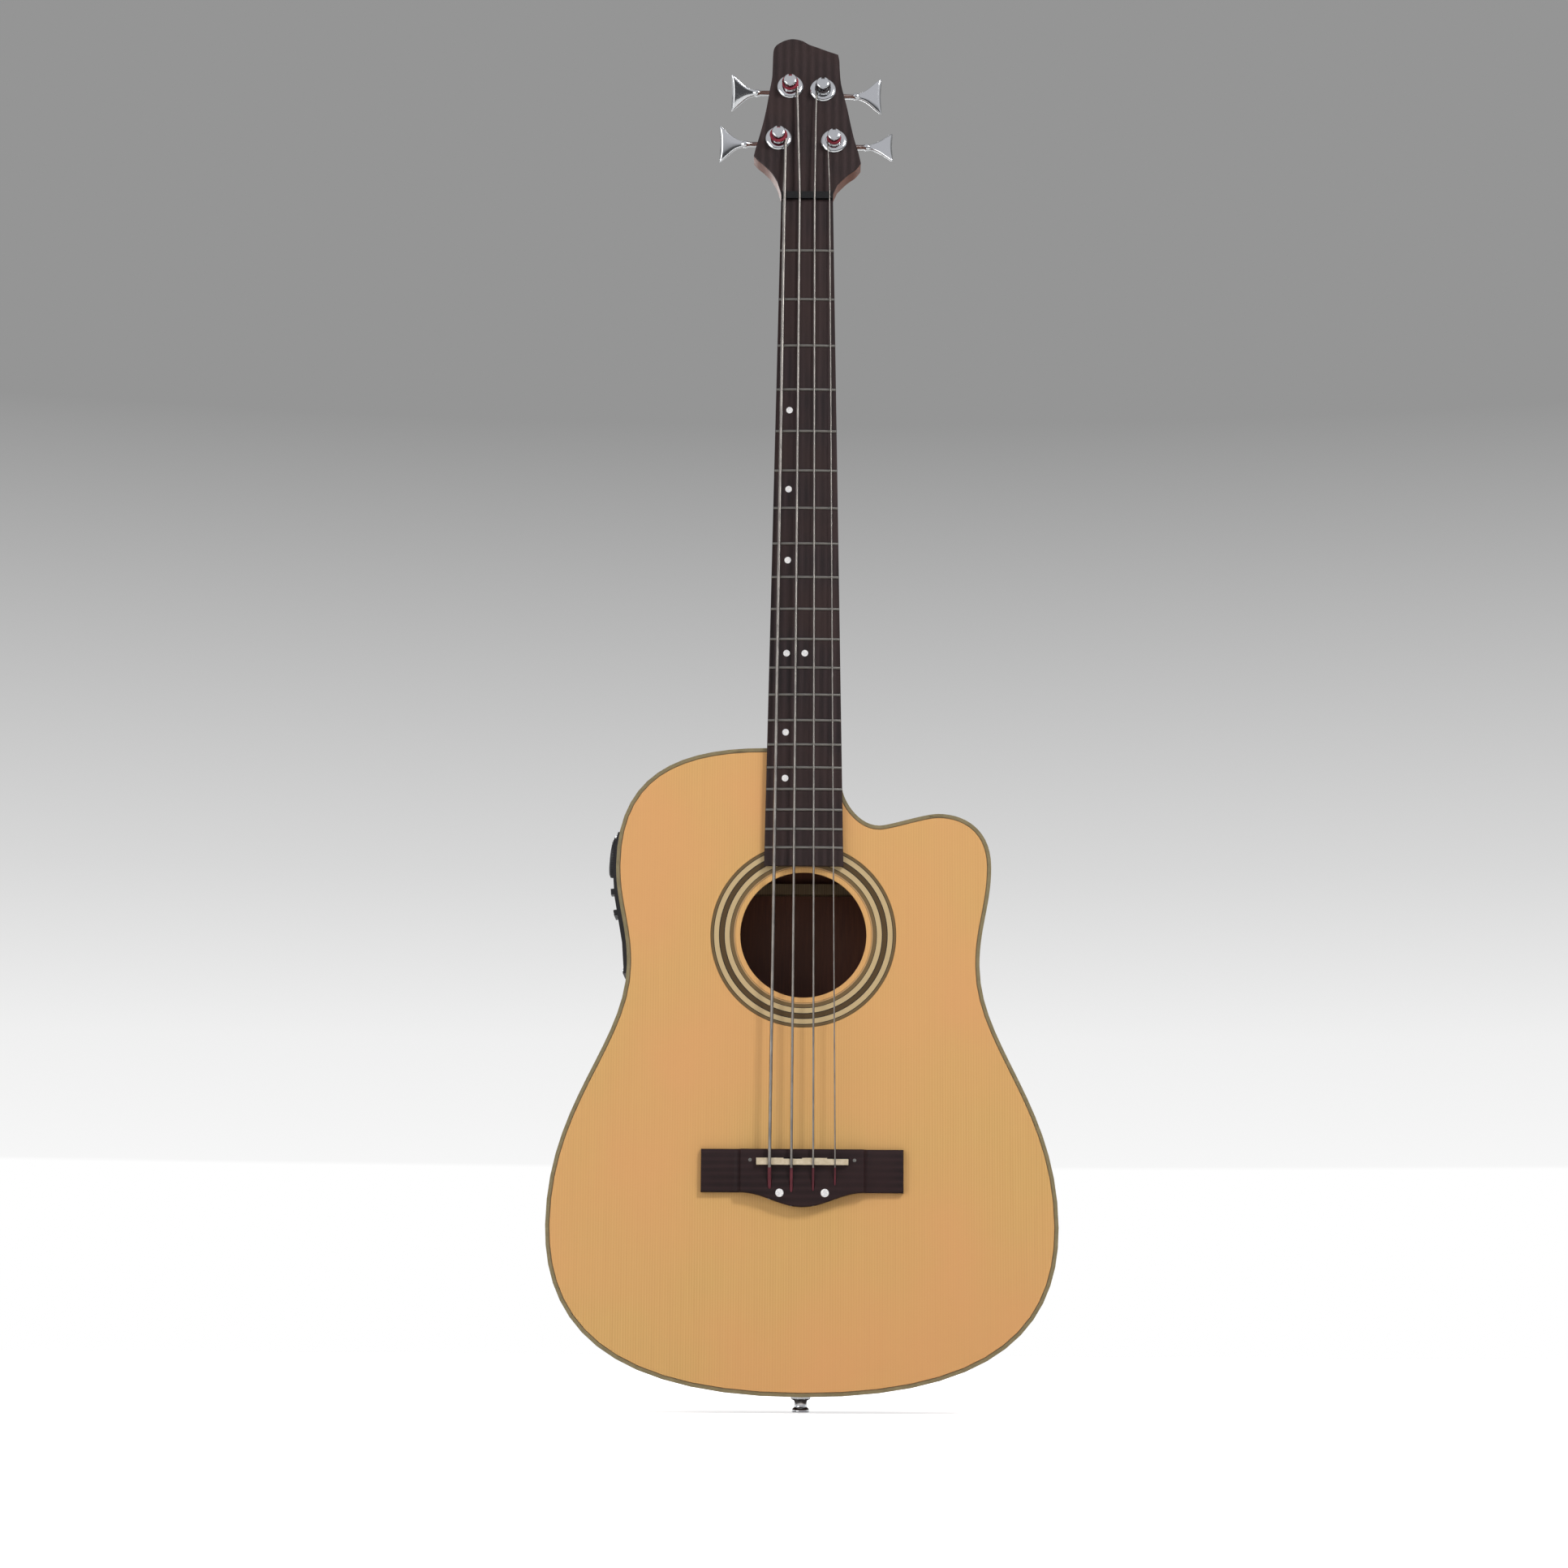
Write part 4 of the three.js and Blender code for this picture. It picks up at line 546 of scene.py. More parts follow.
def grow(name, tree, values, corners, edges=(), body="root"):
    """A plain mesh made by a tree from a base of points and edges."""
    mesh = bpy.data.meshes.new(name)
    mesh.from_pydata([tuple(c) for c in corners], list(edges), [])
    piece = put(name, mesh)
    modifier = piece.modifiers.new("grow", "NODES")
    modifier.node_group = tree
    for item in tree.interface.items_tree:
        if item.in_out == "INPUT" and item.name in values:
            modifier[item.identifier] = values[item.name]
    bake(piece, 40)
    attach(piece, body)
    return piece


# Fret n stands 1 - 2 ** (-n / 12) of the scale below the nut, as wide as the board is there.
# Every wire is bent to the board's camber.
fret_tree, given = new_tree("frets", (
    "Scale Length", "Nut Height", "Nut Half Width", "Half Width Per Metre", "Crown Half Width",
    "Crown Height", "Top", "Camber Radius"), Count="Int")
where = add_node(fret_tree, "ShaderNodeSeparateXYZ", {0: add_node(fret_tree, "GeometryNodeInputPosition")})
index = add_node(fret_tree, "GeometryNodeInputIndex")
terms = {**dict(given.items()), "x": where.outputs["X"], "index": index}
for result, a, operation, b in (
        ("number", "index", "ADD", 1), ("octaves", "number", "DIVIDE", -12), ("left", 2, "POWER", "octaves"),
        ("gone", 1, "SUBTRACT", "left"), ("drop", "gone", "MULTIPLY", "Scale Length"),
        ("height", "Nut Height", "SUBTRACT", "drop"), ("wider", "drop", "MULTIPLY", "Half Width Per Metre"),
        ("reach", "Nut Half Width", "ADD", "wider"), ("square", "x", "MULTIPLY", "x"),
        ("half_square", "square", "DIVIDE", 2), ("sag", "half_square", "DIVIDE", "Camber Radius")):
    terms[result] = add_node(fret_tree, "ShaderNodeMath", {0: terms.get(a, a), 1: terms.get(b, b)},
                             operation=operation)
row = add_node(fret_tree, "GeometryNodeMeshLine", {"Count": given["Count"]})
spot = add_node(fret_tree, "ShaderNodeCombineXYZ", {"Y": given["Top"], "Z": terms["height"]})
set_out = add_node(fret_tree, "GeometryNodeSetPosition", {"Geometry": row, "Position": spot})
wire = add_node(fret_tree, "GeometryNodeMeshCylinder", {"Vertices": 16, "Side Segments": 12, "Radius": 1.0,
                                                        "Depth": 2.0})
section = add_node(fret_tree, "ShaderNodeCombineXYZ", {
    "X": given["Crown Half Width"], "Y": given["Crown Height"], "Z": 1.0})
drawn = add_node(fret_tree, "GeometryNodeTransform", {"Geometry": wire, "Scale": section})
laid = add_node(fret_tree, "GeometryNodeTransform", {"Geometry": drawn, "Rotation": (0, pi / 2, 0)})
across = add_node(fret_tree, "ShaderNodeCombineXYZ", {"X": terms["reach"], "Y": 1.0, "Z": 1.0})
pressed = add_node(fret_tree, "GeometryNodeInstanceOnPoints", {"Points": set_out, "Instance": laid,
                                                               "Scale": across})
real = add_node(fret_tree, "GeometryNodeRealizeInstances", {0: pressed})
bent = add_node(fret_tree, "ShaderNodeCombineXYZ", {"Y": terms["sag"]})
arched = add_node(fret_tree, "GeometryNodeSetPosition", {"Geometry": real, "Offset": bent})
close_tree(fret_tree, arched, given["Material"])


def metal(name, code, roughness, scratch_size, relief, haze=0.08):
    """Polished or brushed metal with faint wear in its shine."""
    material, tree, shader, place = new_material(name, {"Metallic": 1.0, "Base Color": linear(code)})
    wear = add_node(tree, "ShaderNodeTexNoise", {"Vector": place, "Scale": 1 / scratch_size, "Detail": 4.0})
    shine = add_node(tree, "ShaderNodeMapRange", {"Value": wear, "To Min": roughness,
                                                  "To Max": roughness + haze})
    bump = add_node(tree, "ShaderNodeBump", {"Height": wear, "Distance": relief, "Strength": 0.4})
    join(tree, shader, {"Roughness": shine, "Normal": bump})
    return material


# Nickel silver frets are a warm grey metal, polished by the strings.
nickel_silver = metal("nickel_silver", "#817E79", 0.28, 0.004, 0.00001)
stand_for("fretboard", "steel", grow("frets", fret_tree, {
    "Count": fret_count, "Scale Length": scale_length, "Nut Height": nut_z,
    "Nut Half Width": nut_half - edge_gap,
    "Half Width Per Metre": (end_half - nut_half) / (nut_z - board_low.z),
    "Crown Half Width": fret_half_width, "Crown Height": fret_height, "Top": fretboard_top,
    "Camber Radius": camber_radius, "Material": nickel_silver}, []))

dot_radius, dot_depth, dot_lift = 0.00275, 0.0008, 0.00004
fret_z = lambda number: nut_z - scale_length * (1 - 2 ** (-number / 12))
string_spread_at_nut, string_spread_at_saddle = 0.0382, 0.0526
string_x = lambda course, z: (course / 3 - 0.5) * mix(string_spread_at_saddle, string_spread_at_nut,
                                                      (z - nut_z + scale_length) / scale_length)
dot_points = []
for fret, pair in ((5, 0), (7, 0), (9, 0), (12, 0), (12, 1), (15, 0), (17, 0)):
    z = (fret_z(fret) + fret_z(fret - 1)) / 2
    x = string_x(0.5 + pair, z)
    dot_points.append((x, fretboard_top + camber_drop(x), z))
disc_tree, given = new_tree("discs", ("Radius", "Depth", "Lift", "Camber"), Sides="Int")
disc = add_node(disc_tree, "GeometryNodeMeshCylinder", {
    "Vertices": given["Sides"], "Radius": given["Radius"], "Depth": given["Depth"]})
half_depth = add_node(disc_tree, "ShaderNodeMath", {0: given["Depth"], 1: 2}, operation="DIVIDE")
sunk = add_node(disc_tree, "ShaderNodeMath", {0: half_depth, 1: given["Lift"]}, operation="SUBTRACT")
seat = add_node(disc_tree, "ShaderNodeCombineXYZ", {"Y": sunk})
faced = add_node(disc_tree, "GeometryNodeTransform", {"Geometry": disc, "Translation": seat,
                                                      "Rotation": (pi / 2, 0, 0)})
points = add_node(disc_tree, "GeometryNodeMeshToPoints", {"Mesh": given["Base"]})
where = add_node(disc_tree, "ShaderNodeSeparateXYZ", {0: add_node(disc_tree, "GeometryNodeInputPosition")})
slope = add_node(disc_tree, "ShaderNodeMath", {0: where.outputs["X"], 1: given["Camber"]},
                 operation="MULTIPLY")
lean = add_node(disc_tree, "ShaderNodeCombineXYZ", {"Z": slope})
placed = add_node(disc_tree, "GeometryNodeInstanceOnPoints", {"Points": points, "Instance": faced,
                                                              "Rotation": lean})
close_tree(disc_tree, placed, given["Material"])
# Pearl plastic is white with a slow silvery swirl and a bright coat.
pearl = mottled("pearl_plastic", ("#D4D3D6", "#F2F0EC"),
                {"Roughness": 0.18, "Coat Weight": 0.5, "Coat Roughness": 0.05}, 1 / 420, margin=0.35,
                Distortion=2.0)
grow("position_dots", disc_tree, {
    "Radius": dot_radius, "Depth": dot_depth, "Lift": dot_lift, "Sides": 28, "Camber": 1 / camber_radius,
    "Material": pearl}, dot_points)

# Nut: a strip of black moulded plastic glued across the end of the fretboard, with four filed string slots.
# It is made with the frame, and keeps its shape here.


def paint(material, *names):
    """Gives nodes of the frame a material as they stand."""
    for name in names:
        nodes[name].data.materials.clear()
        nodes[name].data.materials.append(material)


# Black nut plastic is smooth, with its shine rubbed off.
paint(mottled("black_nut_plastic", ("#121213", "#1A1A1C"), {"Roughness": 0.5, "Specular IOR Level": 0.15},
              0.0012, 0.00001), "nut")

# Bridge: a block of dark rosewood glued and bolted to the top. It is milled with coved shoulders down to thin
# wings, and a bulge behind the string seats, then slotted for the saddle and its pickup.
saddle_low, saddle_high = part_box("saddle")
bridge_low, bridge_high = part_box("bridge")
bridge_half, bridge_back_y = bridge_high.x, bridge_high.y
block_half, cove_width, bulge, arris = 0.0495, 0.007, 0.0115, 0.0011
block_thickness, wing_thickness = 0.0095, 0.005
bridge_top_y = bridge_back_y - block_thickness
slot_depth, slot_margin = 0.006, 0.0003
bolt_x, bolt_z, bolt_head_radius, bolt_depth = 0.0182, 0.1613, 0.0031, 0.01
overrun = 0.001


def bridge_lift(x):
    """Thickness of the bridge at one place: block, coved shoulder, wing and rounded end."""
    share = min(1, max(0, (abs(x) - block_half) / cove_width))
    lift = mix(block_thickness, wing_thickness, 1 - (1 - share) ** 3)
    end = max(0, 1 - (bridge_half - abs(x)) / arris)
    return lift - arris * (1 - sqrt(max(0, 1 - end * end)))


def bridge_rear(x):
    """The lower edge of the bridge, which bulges downwards in the middle."""
    share = min(1, abs(x) / block_half)
    return bridge_low.z + bulge - bulge * (0.5 + 0.5 * cos(pi * share))


def round_section(low, high, back, face, radius, steps=4):
    """Corners of a section in (Y, Z) whose two front arrises are rounded."""
    angles = [pi / 2 * step / steps for step in range(steps + 1)]
    return ([(back, low), (back, high)]
            + [(face + radius - radius * sin(a), high - radius + radius * cos(a)) for a in angles]
            + [(face + radius - radius * cos(a), low + radius - radius * sin(a)) for a in angles])


right_xs = ([block_half * step / 24 for step in range(1, 25)]
            + [block_half + cove_width * step / 10 for step in range(1, 11)]
            + [bridge_half - arris * (1 - step / 6) for step in range(7)])
bridge_rings = []
for x in [-x for x in reversed(right_xs)] + [0] + right_xs:
    face_y = bridge_back_y - bridge_lift(x)
    section = round_section(bridge_rear(x), bridge_high.z, bridge_back_y, face_y, arris)
    bridge_rings.append([(x, y, z) for y, z in section])
# Dark rosewood: near black with a violet cast, fine open pores and a low oiled shine.
dark_rosewood = grained_wood("dark_rosewood", [(0.25, "#191112"), (0.5, "#211617"), (0.8, "#2D1F20")],
                             ring=0.006, fibre=(0.0012, 0.03), patch=(0.04, "#2E1E1F", 0.6), relief=0.00005,
                             finish={"Roughness": 0.55, "Specular IOR Level": 0.15}, turn=(0, radians(90), 0))
string_radii = {"e": 0.001335, "a": 0.00108, "d": 0.000825, "g": 0.00057}
string_courses = {"e": 0, "a": 1, "d": 2, "g": 3}
ball_seat_lift, ball_seat_radius, ball_seat_depth, seat_run_out = 0.0046, 0.0032, 0.0055, 0.006
saddle_gap = 0.0001


def saddle_path(name):
    """Where a string leaves its seat, and where it meets the rear and the front of the saddle."""
    x = (string_courses[name] / 3 - 0.5) * string_spread_at_saddle
    rest = saddle_low.y - saddle_gap - string_radii[name]
    return [Vector((x, bridge_back_y - ball_seat_lift, bridge_rear(x))), Vector((x, rest, saddle_low.z)),
            Vector((x, rest, saddle_high.z))]


bridge = skin("bridge_wood", bridge_rings, dark_rosewood)
cutters = [block("saddle_slot",
                 (saddle_low.x - slot_margin, bridge_top_y - slot_margin, saddle_low.z - slot_margin),
                 (saddle_high.x + slot_margin, bridge_top_y + slot_depth, saddle_high.z + slot_margin))]
for x in (-bolt_x, bolt_x):
    cutters.append(drill((x, front_y + bolt_depth, bolt_z), (x, bridge_top_y - overrun, bolt_z),
                         bolt_head_radius + slot_margin))
for name, radius in string_radii.items():
    seat, rear, _ = saddle_path(name)
    along = (rear - seat).normalized()
    cutters.append(drill(seat - along * seat_run_out, rear, radius + 2 * edge_gap))
    cutters.append(drill(seat - along * seat_run_out, seat + along * ball_seat_depth, ball_seat_radius))
hollow(bridge, *cutters)
stand_for("bridge", "rosewood", bridge)
# Grey abalone is dull and smoky.
grey_shell = mottled("grey_shell", ("#4E4D4B", "#7B7A76"), {"Roughness": 0.3}, 0.0008, 0.00001)
side_dot_x, side_dot_z = 0.042, 0.1875
for name, x, z, radius, depth, lift, sides, inlay in (
        ("bolt_caps", bolt_x, bolt_z, 0.00325, 0.0012, 0.0001, 32, pearl),
        ("bridge_side_dots", side_dot_x, side_dot_z, 0.0014, 0.0008, 0.00006, 24, grey_shell)):
    grow(name, disc_tree, {"Radius": radius, "Depth": depth, "Lift": lift, "Sides": sides,
                                   "Material": inlay}, [(-x, bridge_top_y, z), (x, bridge_top_y, z)])

# Saddle: pale bone plastic dropped into the slot over the strip pickup, its front edge filed in four steps.
# Steel bolts and their nuts clamp the bridge through the plate under the top.
# Bone plastic is cream and lightly polished; plated steel is a plain grey with a dull shine.
paint(mottled("bone_plastic", ("#BCAC90", "#CDBFA6"), {"Roughness": 0.38}, 0.003, 0.00001), "saddle")
paint(metal("plated_steel", "#8E8F90", 0.35, 0.003, 0.00002), "saddle_pickup", "bridge_bolt_left",
      "bridge_bolt_right", "truss_rod")

# Strings: steel cores wound with bronze wire, from their ball ends in the bridge over the saddle and nut and
# round the tuner posts. Red silk thread covers both ends.
cord_tree, given = new_tree("cords", ["Radius"], Sides="Int")
run = add_node(cord_tree, "GeometryNodeMeshToCurve", {"Mesh": given["Base"]})
ring = add_node(cord_tree, "GeometryNodeCurvePrimitiveCircle", {"Resolution": given["Sides"],
                                                                "Radius": given["Radius"]})
drawn = add_node(cord_tree, "GeometryNodeCurveToMesh", {"Curve": run, "Profile Curve": ring,
                                                        "Fill Caps": True})
close_tree(cord_tree, drawn, given["Material"])


def cords(name, runs, radius, material, body="root", sides=8):
    """Round cords of one radius, each along a run of points."""
    corners, edges = [], []
    for run in runs:
        edges += [(i, i + 1) for i in range(len(corners), len(corners) + len(run) - 1)]
        corners += run
    values = {"Radius": radius, "Sides": sides, "Material": material}
    return grow(name, cord_tree, values, corners, edges, body)


post_radius, waist_radius, post_top_radius = 0.0042, 0.0045, 0.0056
ferrule_back = veneer_front - edge_gap
ferrule_thickness, ferrule_radius = 0.002, 0.0111
ferrule_front = ferrule_back - ferrule_thickness
post_rise, post_collar = 0.011, 0.001
post_foot, post_tip = ferrule_front - edge_gap, ferrule_front - post_rise
waist_foot = post_foot - post_collar
winding_gap, winding_steps, nut_slot_lift = 0.00055, 48, 0.0005
post_shares = {"e": (-0.537, 0.354), "a": (-0.325, 0.688), "d": (0.288, 0.668), "g": (0.496, 0.338)}
posts = {name: Vector((x * head_half, 0, z * head_length)) for name, (x, z) in post_shares.items()}
sides_of = {"e": -1, "a": -1, "d": 1, "g": 1}
string_turns = {"e": 1, "a": 1.5, "d": 1.5, "g": 2}


def nut_path(name):
    """Where a string meets the front and the rear of the nut."""
    x = (string_courses[name] / 3 - 0.5) * string_spread_at_nut
    y = board_low.y - nut_slot_lift - edge_gap - string_radii[name]
    return [Vector((x, y, nut_z)), Vector((x, y, pivot_z))]


def winding(name):
    """The turns of one string round the waist of its post, from the side that faces the centreline."""
    post, radius, side = posts[name], string_radii[name], sides_of[name]
    reach = waist_radius + edge_gap + radius
    start = head_frame.inverted() @ nut_path(name)[1]
    away = atan2(start.z - post.z, start.x - post.x)
    first = away - side * acos(reach / hypot(start.z - post.z, start.x - post.x))
    points = []
    for step in range(round(string_turns[name] * winding_steps) + 1):
        angle = first - side * 2 * pi * step / winding_steps
        level = waist_foot - edge_gap - radius - (2 * radius + winding_gap) * step / winding_steps
        points.append(head_frame @ Vector((post.x + reach * cos(angle), level,
                                           post.z + reach * sin(angle))))
    return points


def thread(name, codes, finish, pitch, relief=0.00004, tone_size=1 / 90):
    """Fine wire or thread wound round a core: two tones, and shallow ridges along the length."""
    material = mottled(name, codes, finish, tone_size, margin=0.35)
    tree = material.node_tree
    place = tree.nodes["Texture Coordinate"].outputs["Object"]
    ridges = add_node(tree, "ShaderNodeTexWave", {"Vector": place, "Scale": wave_length / pitch,
                                                  "Distortion": 0.2}, bands_direction="Z")
    bump = add_node(tree, "ShaderNodeBump", {"Height": ridges.outputs["Fac"], "Distance": relief,
                                             "Strength": 0.6})
    join(tree, tree.nodes["Principled BSDF"], {"Normal": bump})
    return material


# Played-in bronze winding is a warm grey with fine ridges. Silk is matt red thread, duller at the tail and
# nearly black on one post.
bronze_winding = thread("bronze_winding", ("#7D7975", "#8F8B85"), {"Metallic": 1.0, "Roughness": 0.34},
                        0.0005)
red_silk, dull_red_silk, dark_silk = [thread(name, codes, {"Roughness": roughness}, 0.0004)
                                      for name, codes, roughness in (
                                          ("red_silk", ("#6E1524", "#8E2236"), 0.75),
                                          ("dull_red_silk", ("#501722", "#6C2733"), 0.75),
                                          ("dark_silk", ("#241B1C", "#33282A"), 0.7))]
silk_thickness = 0.00012
tail_silk_shares, head_silk_share = (0.1, 0.93), 0.97
for name, radius in string_radii.items():
    seat, rear, front = saddle_path(name)
    nut_front, nut_rear = nut_path(name)
    loops = winding(name)
    over = radius + silk_thickness
    stand_for(f"string_{name}", "string_wire", *[
        cords(f"{label}_{name}", [points], reach, cover, sides=16) for label, points, reach, cover in (
            ("wire", [seat, rear, front, nut_front, nut_rear] + loops, radius, bronze_winding),
            ("tail_silk", [mix(seat, rear, share) for share in tail_silk_shares], over, dull_red_silk),
            ("head_silk", [mix(nut_rear, loops[0], head_silk_share)] + loops, over,
             dark_silk if name == "d" else red_silk))])

# Tuners: a sealed housing screwed to the back of the head, a worm key with a flared wing, a post and a round
# washer in front. All are cast zinc or turned brass with a chrome skin.
wing_sections = [(0, 0.17, 0.7), (0.12, 0.18, 0.8), (0.25, 0.22, 0.9), (0.42, 0.34, 1), (0.55, 0.47, 1),
                 (0.68, 0.635, 1), (0.8, 0.8, 1), (0.9, 0.93, 0.95), (0.95, 0.985, 0.8), (0.985, 0.99, 0.5),
                 (1, 0.965, 0.15)]
wing_power, wing_dip = 0.67, 0.06
key_reach, key_flare_length, key_flare_height, key_thickness = 0.0512, 0.023, 0.0315, 0.0044
key_rest = {"e": radians(18), "a": radians(30), "d": radians(14), "g": radians(-14)}
key_shaft_radius, key_collar_radius, worm_radius, worm_half = 0.0024, 0.0031, 0.0013, 0.0045
key_axis_y, worm_rise = 0.0186, 0.0057
bushing_radius, bushing_depth, bore = 0.0062, 0.008, post_radius + edge_gap
flare_start = key_reach - key_flare_length
gear_hub_radius, post_shoulder_radius = 0.0032, post_top_radius - 0.0002
# A profile is a line of points, each a radius and a height along the axis.
washer_profile = [(bore, bushing_depth), (bore, ferrule_front)]
washer_profile += [(radius, ferrule_front + rise) for radius, rise in (
    (0.0052, 0), (0.0056, 0.0004), (0.0066, 0.0004), (0.0070, 0), (0.0094, 0.0002), (0.0105, 0.0006),
    (ferrule_radius, 0.0013))]
washer_profile += [(ferrule_radius, ferrule_back), (bushing_radius, ferrule_back),
                   (bushing_radius, bushing_depth)]
post_profile = [(0, key_axis_y), (gear_hub_radius, key_axis_y), (gear_hub_radius, 0.0166),
                (post_radius, 0.0163), (post_radius, post_foot), (post_top_radius, post_foot),
                (post_top_radius, waist_foot + 0.0002), (post_shoulder_radius, waist_foot),
                (waist_radius, waist_foot)]
post_profile += [(radius, post_tip + rise) for radius, rise in (
    (waist_radius, 0.0024), (post_shoulder_radius, 0.0024), (post_top_radius, 0.0022),
    (post_top_radius, 0.0009), (post_top_radius - 0.0003, 0.0004), (post_top_radius - 0.001, 0), (0, 0))]
shaft_profile = [(0, -worm_half), (worm_radius, -worm_half), (worm_radius, worm_half),
                 (key_shaft_radius, worm_half)]
shaft_profile += [(radius, flare_start + rise) for radius, rise in (
    (key_shaft_radius, -0.002), (key_collar_radius, -0.001), (key_collar_radius, 0.001),
    (key_shaft_radius, 0.004), (0, 0.006))]
collar_profile = [(0.0027, 0.0085), (0.0038, 0.0085), (0.0038, 0.0145), (0.0034, 0.0149), (0.0034, 0.0157),
                  (0.0038, 0.0161), (0.0038, 0.0168), (0.0036, 0.017), (0.0027, 0.017)]
housing_half, housing_half_height, housing_corner = 0.009, 0.0125, 0.003
housing_front, housing_back = 0.0143, 0.0263
housing_steps = [(0, 0), (0.7, 0), (0.85, 0.0004), (0.94, 0.0014), (0.985, 0.003), (1, 0.005)]
cavity_half, cavity_half_height, cavity_front, cavity_back = 0.007, 0.0105, 0.016, 0.0212
post_hole_ends, key_hole_ends, key_hole_radius = (0.01, 0.018), (0.005, 0.011), 0.0027
slot_half, slot_height, slot_half_length = 0.00145, 0.0024, 0.012


def turned(name, profile, place, material, body="root", sides=56, looped=False):
    """A body turned about Y from a profile of radius and height, then put in place."""
    angles = [2 * pi * i / sides for i in range(sides)]
    rings = [[place @ Vector((radius * cos(a), y, radius * sin(a))) for a in angles]
             for radius, y in profile]
    return skin(name, rings, material, body, 40, looped)


def wing_ring(reach, height, thickness, side, steps=32):
    """One section of a wing: a flattened oval, which runs in at the middle of the flared end."""
    swell = lambda value: copysign(abs(value) ** wing_power, value)
    ring = []
    for angle in (2 * pi * step / steps for step in range(steps)):
        up = swell(sin(angle)) * height
        out = flare_start + key_flare_length * reach * (1 - wing_dip * (1 - up * up))
        across = swell(cos(angle)) * thickness * key_thickness / 2
        ring.append((side * out, across, up * key_flare_height / 2))
    return ring


def housing_ring(depth, inward, steps=4):
    """One section of a tuner housing: a rectangle with rounded corners."""
    corner = housing_corner - inward / 2
    reach, rise = housing_half - inward - corner, housing_half_height - inward - corner
    ring = []
    for quarter, (x, z) in enumerate(((reach, rise), (-reach, rise), (-reach, -rise), (reach, -rise))):
        for angle in (pi / 2 * (quarter + step / steps) for step in range(steps + 1)):
            ring.append((x + corner * cos(angle), mix(housing_front, housing_back, depth),
                         z + corner * sin(angle)))
    return ring


# Chrome mirrors its surroundings, with only a trace of haze.
chrome = metal("chrome_plate", "#D6D8DA", 0.06, 0.006, 0.000005)
# Screw heads: a low dome with a cross recess, one shape set wherever a screw is.
screw_profile = [(0, -0.0004), (0.0019, -0.0004), (0.0019, 0.0002), (0.0016, 0.0007), (0.0008, 0.0009),
                 (0, 0.00095)]
recess_foot, recess_top, recess_half, recess_reach = 0.0004, 0.002, 0.0003, 0.0012
screw_head = turned("screw_head", screw_profile, Matrix(), chrome, None, 20)
hollow(screw_head, *[block("recess", (-x, recess_foot, -z), (x, recess_top, z))
                     for x, z in ((recess_half, recess_reach), (recess_reach, recess_half))])
screw_tree, given = new_tree("screws", [], Head="Object", Turn="Vector")
head = add_node(screw_tree, "GeometryNodeObjectInfo", {"Object": given["Head"]})
points = add_node(screw_tree, "GeometryNodeMeshToPoints", {"Mesh": given["Base"]})
driven = add_node(screw_tree, "GeometryNodeInstanceOnPoints", {
    "Points": points, "Instance": head.outputs["Geometry"], "Rotation": given["Turn"]})
close_tree(screw_tree, driven, given["Material"])


def screws(name, places, turn):
    """Screw heads at some places, all turned one way."""
    values = {"Head": screw_head, "Turn": tuple(turn), "Material": chrome}
    grow(name, screw_tree, values, places)


screw_rise = 0.0072
screw_places = [Vector((post.x, housing_back, post.z + worm_rise / 2 + rise))
                for post in posts.values() for rise in (-screw_rise, screw_rise)]
screws("housing_screws", [head_frame @ place for place in screw_places], head_frame.to_euler())
for name, post in posts.items():
    side = sides_of[name]
    at_post = head_frame @ Matrix.Translation(post)
    housing = skin(f"housing_{name}", [housing_ring(*step) for step in housing_steps], chrome)
    cutters = [block("cavity", (-cavity_half, cavity_front, -cavity_half_height),
                     (cavity_half, cavity_back, cavity_half_height)),
               drill(*[(0, y, -worm_rise / 2) for y in post_hole_ends], bore),
               drill(*[(x * side, key_axis_y, worm_rise / 2) for x in key_hole_ends], key_hole_radius)]
    for piece in (housing, *cutters):
        piece.data.transform(at_post @ Matrix.Translation((0, 0, worm_rise / 2)))
    hollow(housing, *cutters)
    washer = turned(f"washer_{name}", washer_profile, at_post, chrome, looped=True)
    stem = turned(f"post_turned_{name}", post_profile, at_post, chrome, f"post_{name}")
    slot_cut = block("post_slot", (-slot_half, post_tip - overrun, -slot_half_length),
                     (slot_half, post_tip + slot_height, slot_half_length))
    slot_cut.data.transform(at_post)
    hollow(stem, slot_cut)
    key_frame = head_frame @ Matrix.Translation((post.x, key_axis_y, post.z + worm_rise))
    sections = flowing([Vector(section) for section in wing_sections], set(), 3)
    wing_rings = [wing_ring(*section, side) for section in sections]
    wing = skin(f"key_wing_{name}", wing_rings, chrome, f"key_{name}", 60)
    wing.data.transform(key_frame @ Matrix.Rotation(key_rest[name], 4, "X"))
    along_key = key_frame @ Matrix.Rotation(radians(-90 * side), 4, "Z")
    collar = turned(f"key_collar_{name}", collar_profile, along_key, chrome, sides=32, looped=True)
    shaft = turned(f"key_shaft_{name}", shaft_profile, along_key, chrome, f"key_{name}", 32)
    for label, *pieces in (("ferrule", washer), ("post", stem), ("housing", housing, collar),
                           ("key", wing, shaft)):
        stand_for(f"tuner_{label}_{name}", "chrome", *pieces)

# Preamp: a moulded black unit let into the bass side, with a low round volume knob, a square button, four
# sliders and a hinged battery door. Its panel follows the bend of the side.
panel_low, panel_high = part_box("preamp_panel")
panel_lift = 0.0043
panel_line = inset(outline, -panel_lift)
swings = {joint["child"]: joint for joint in frame["joints"]}
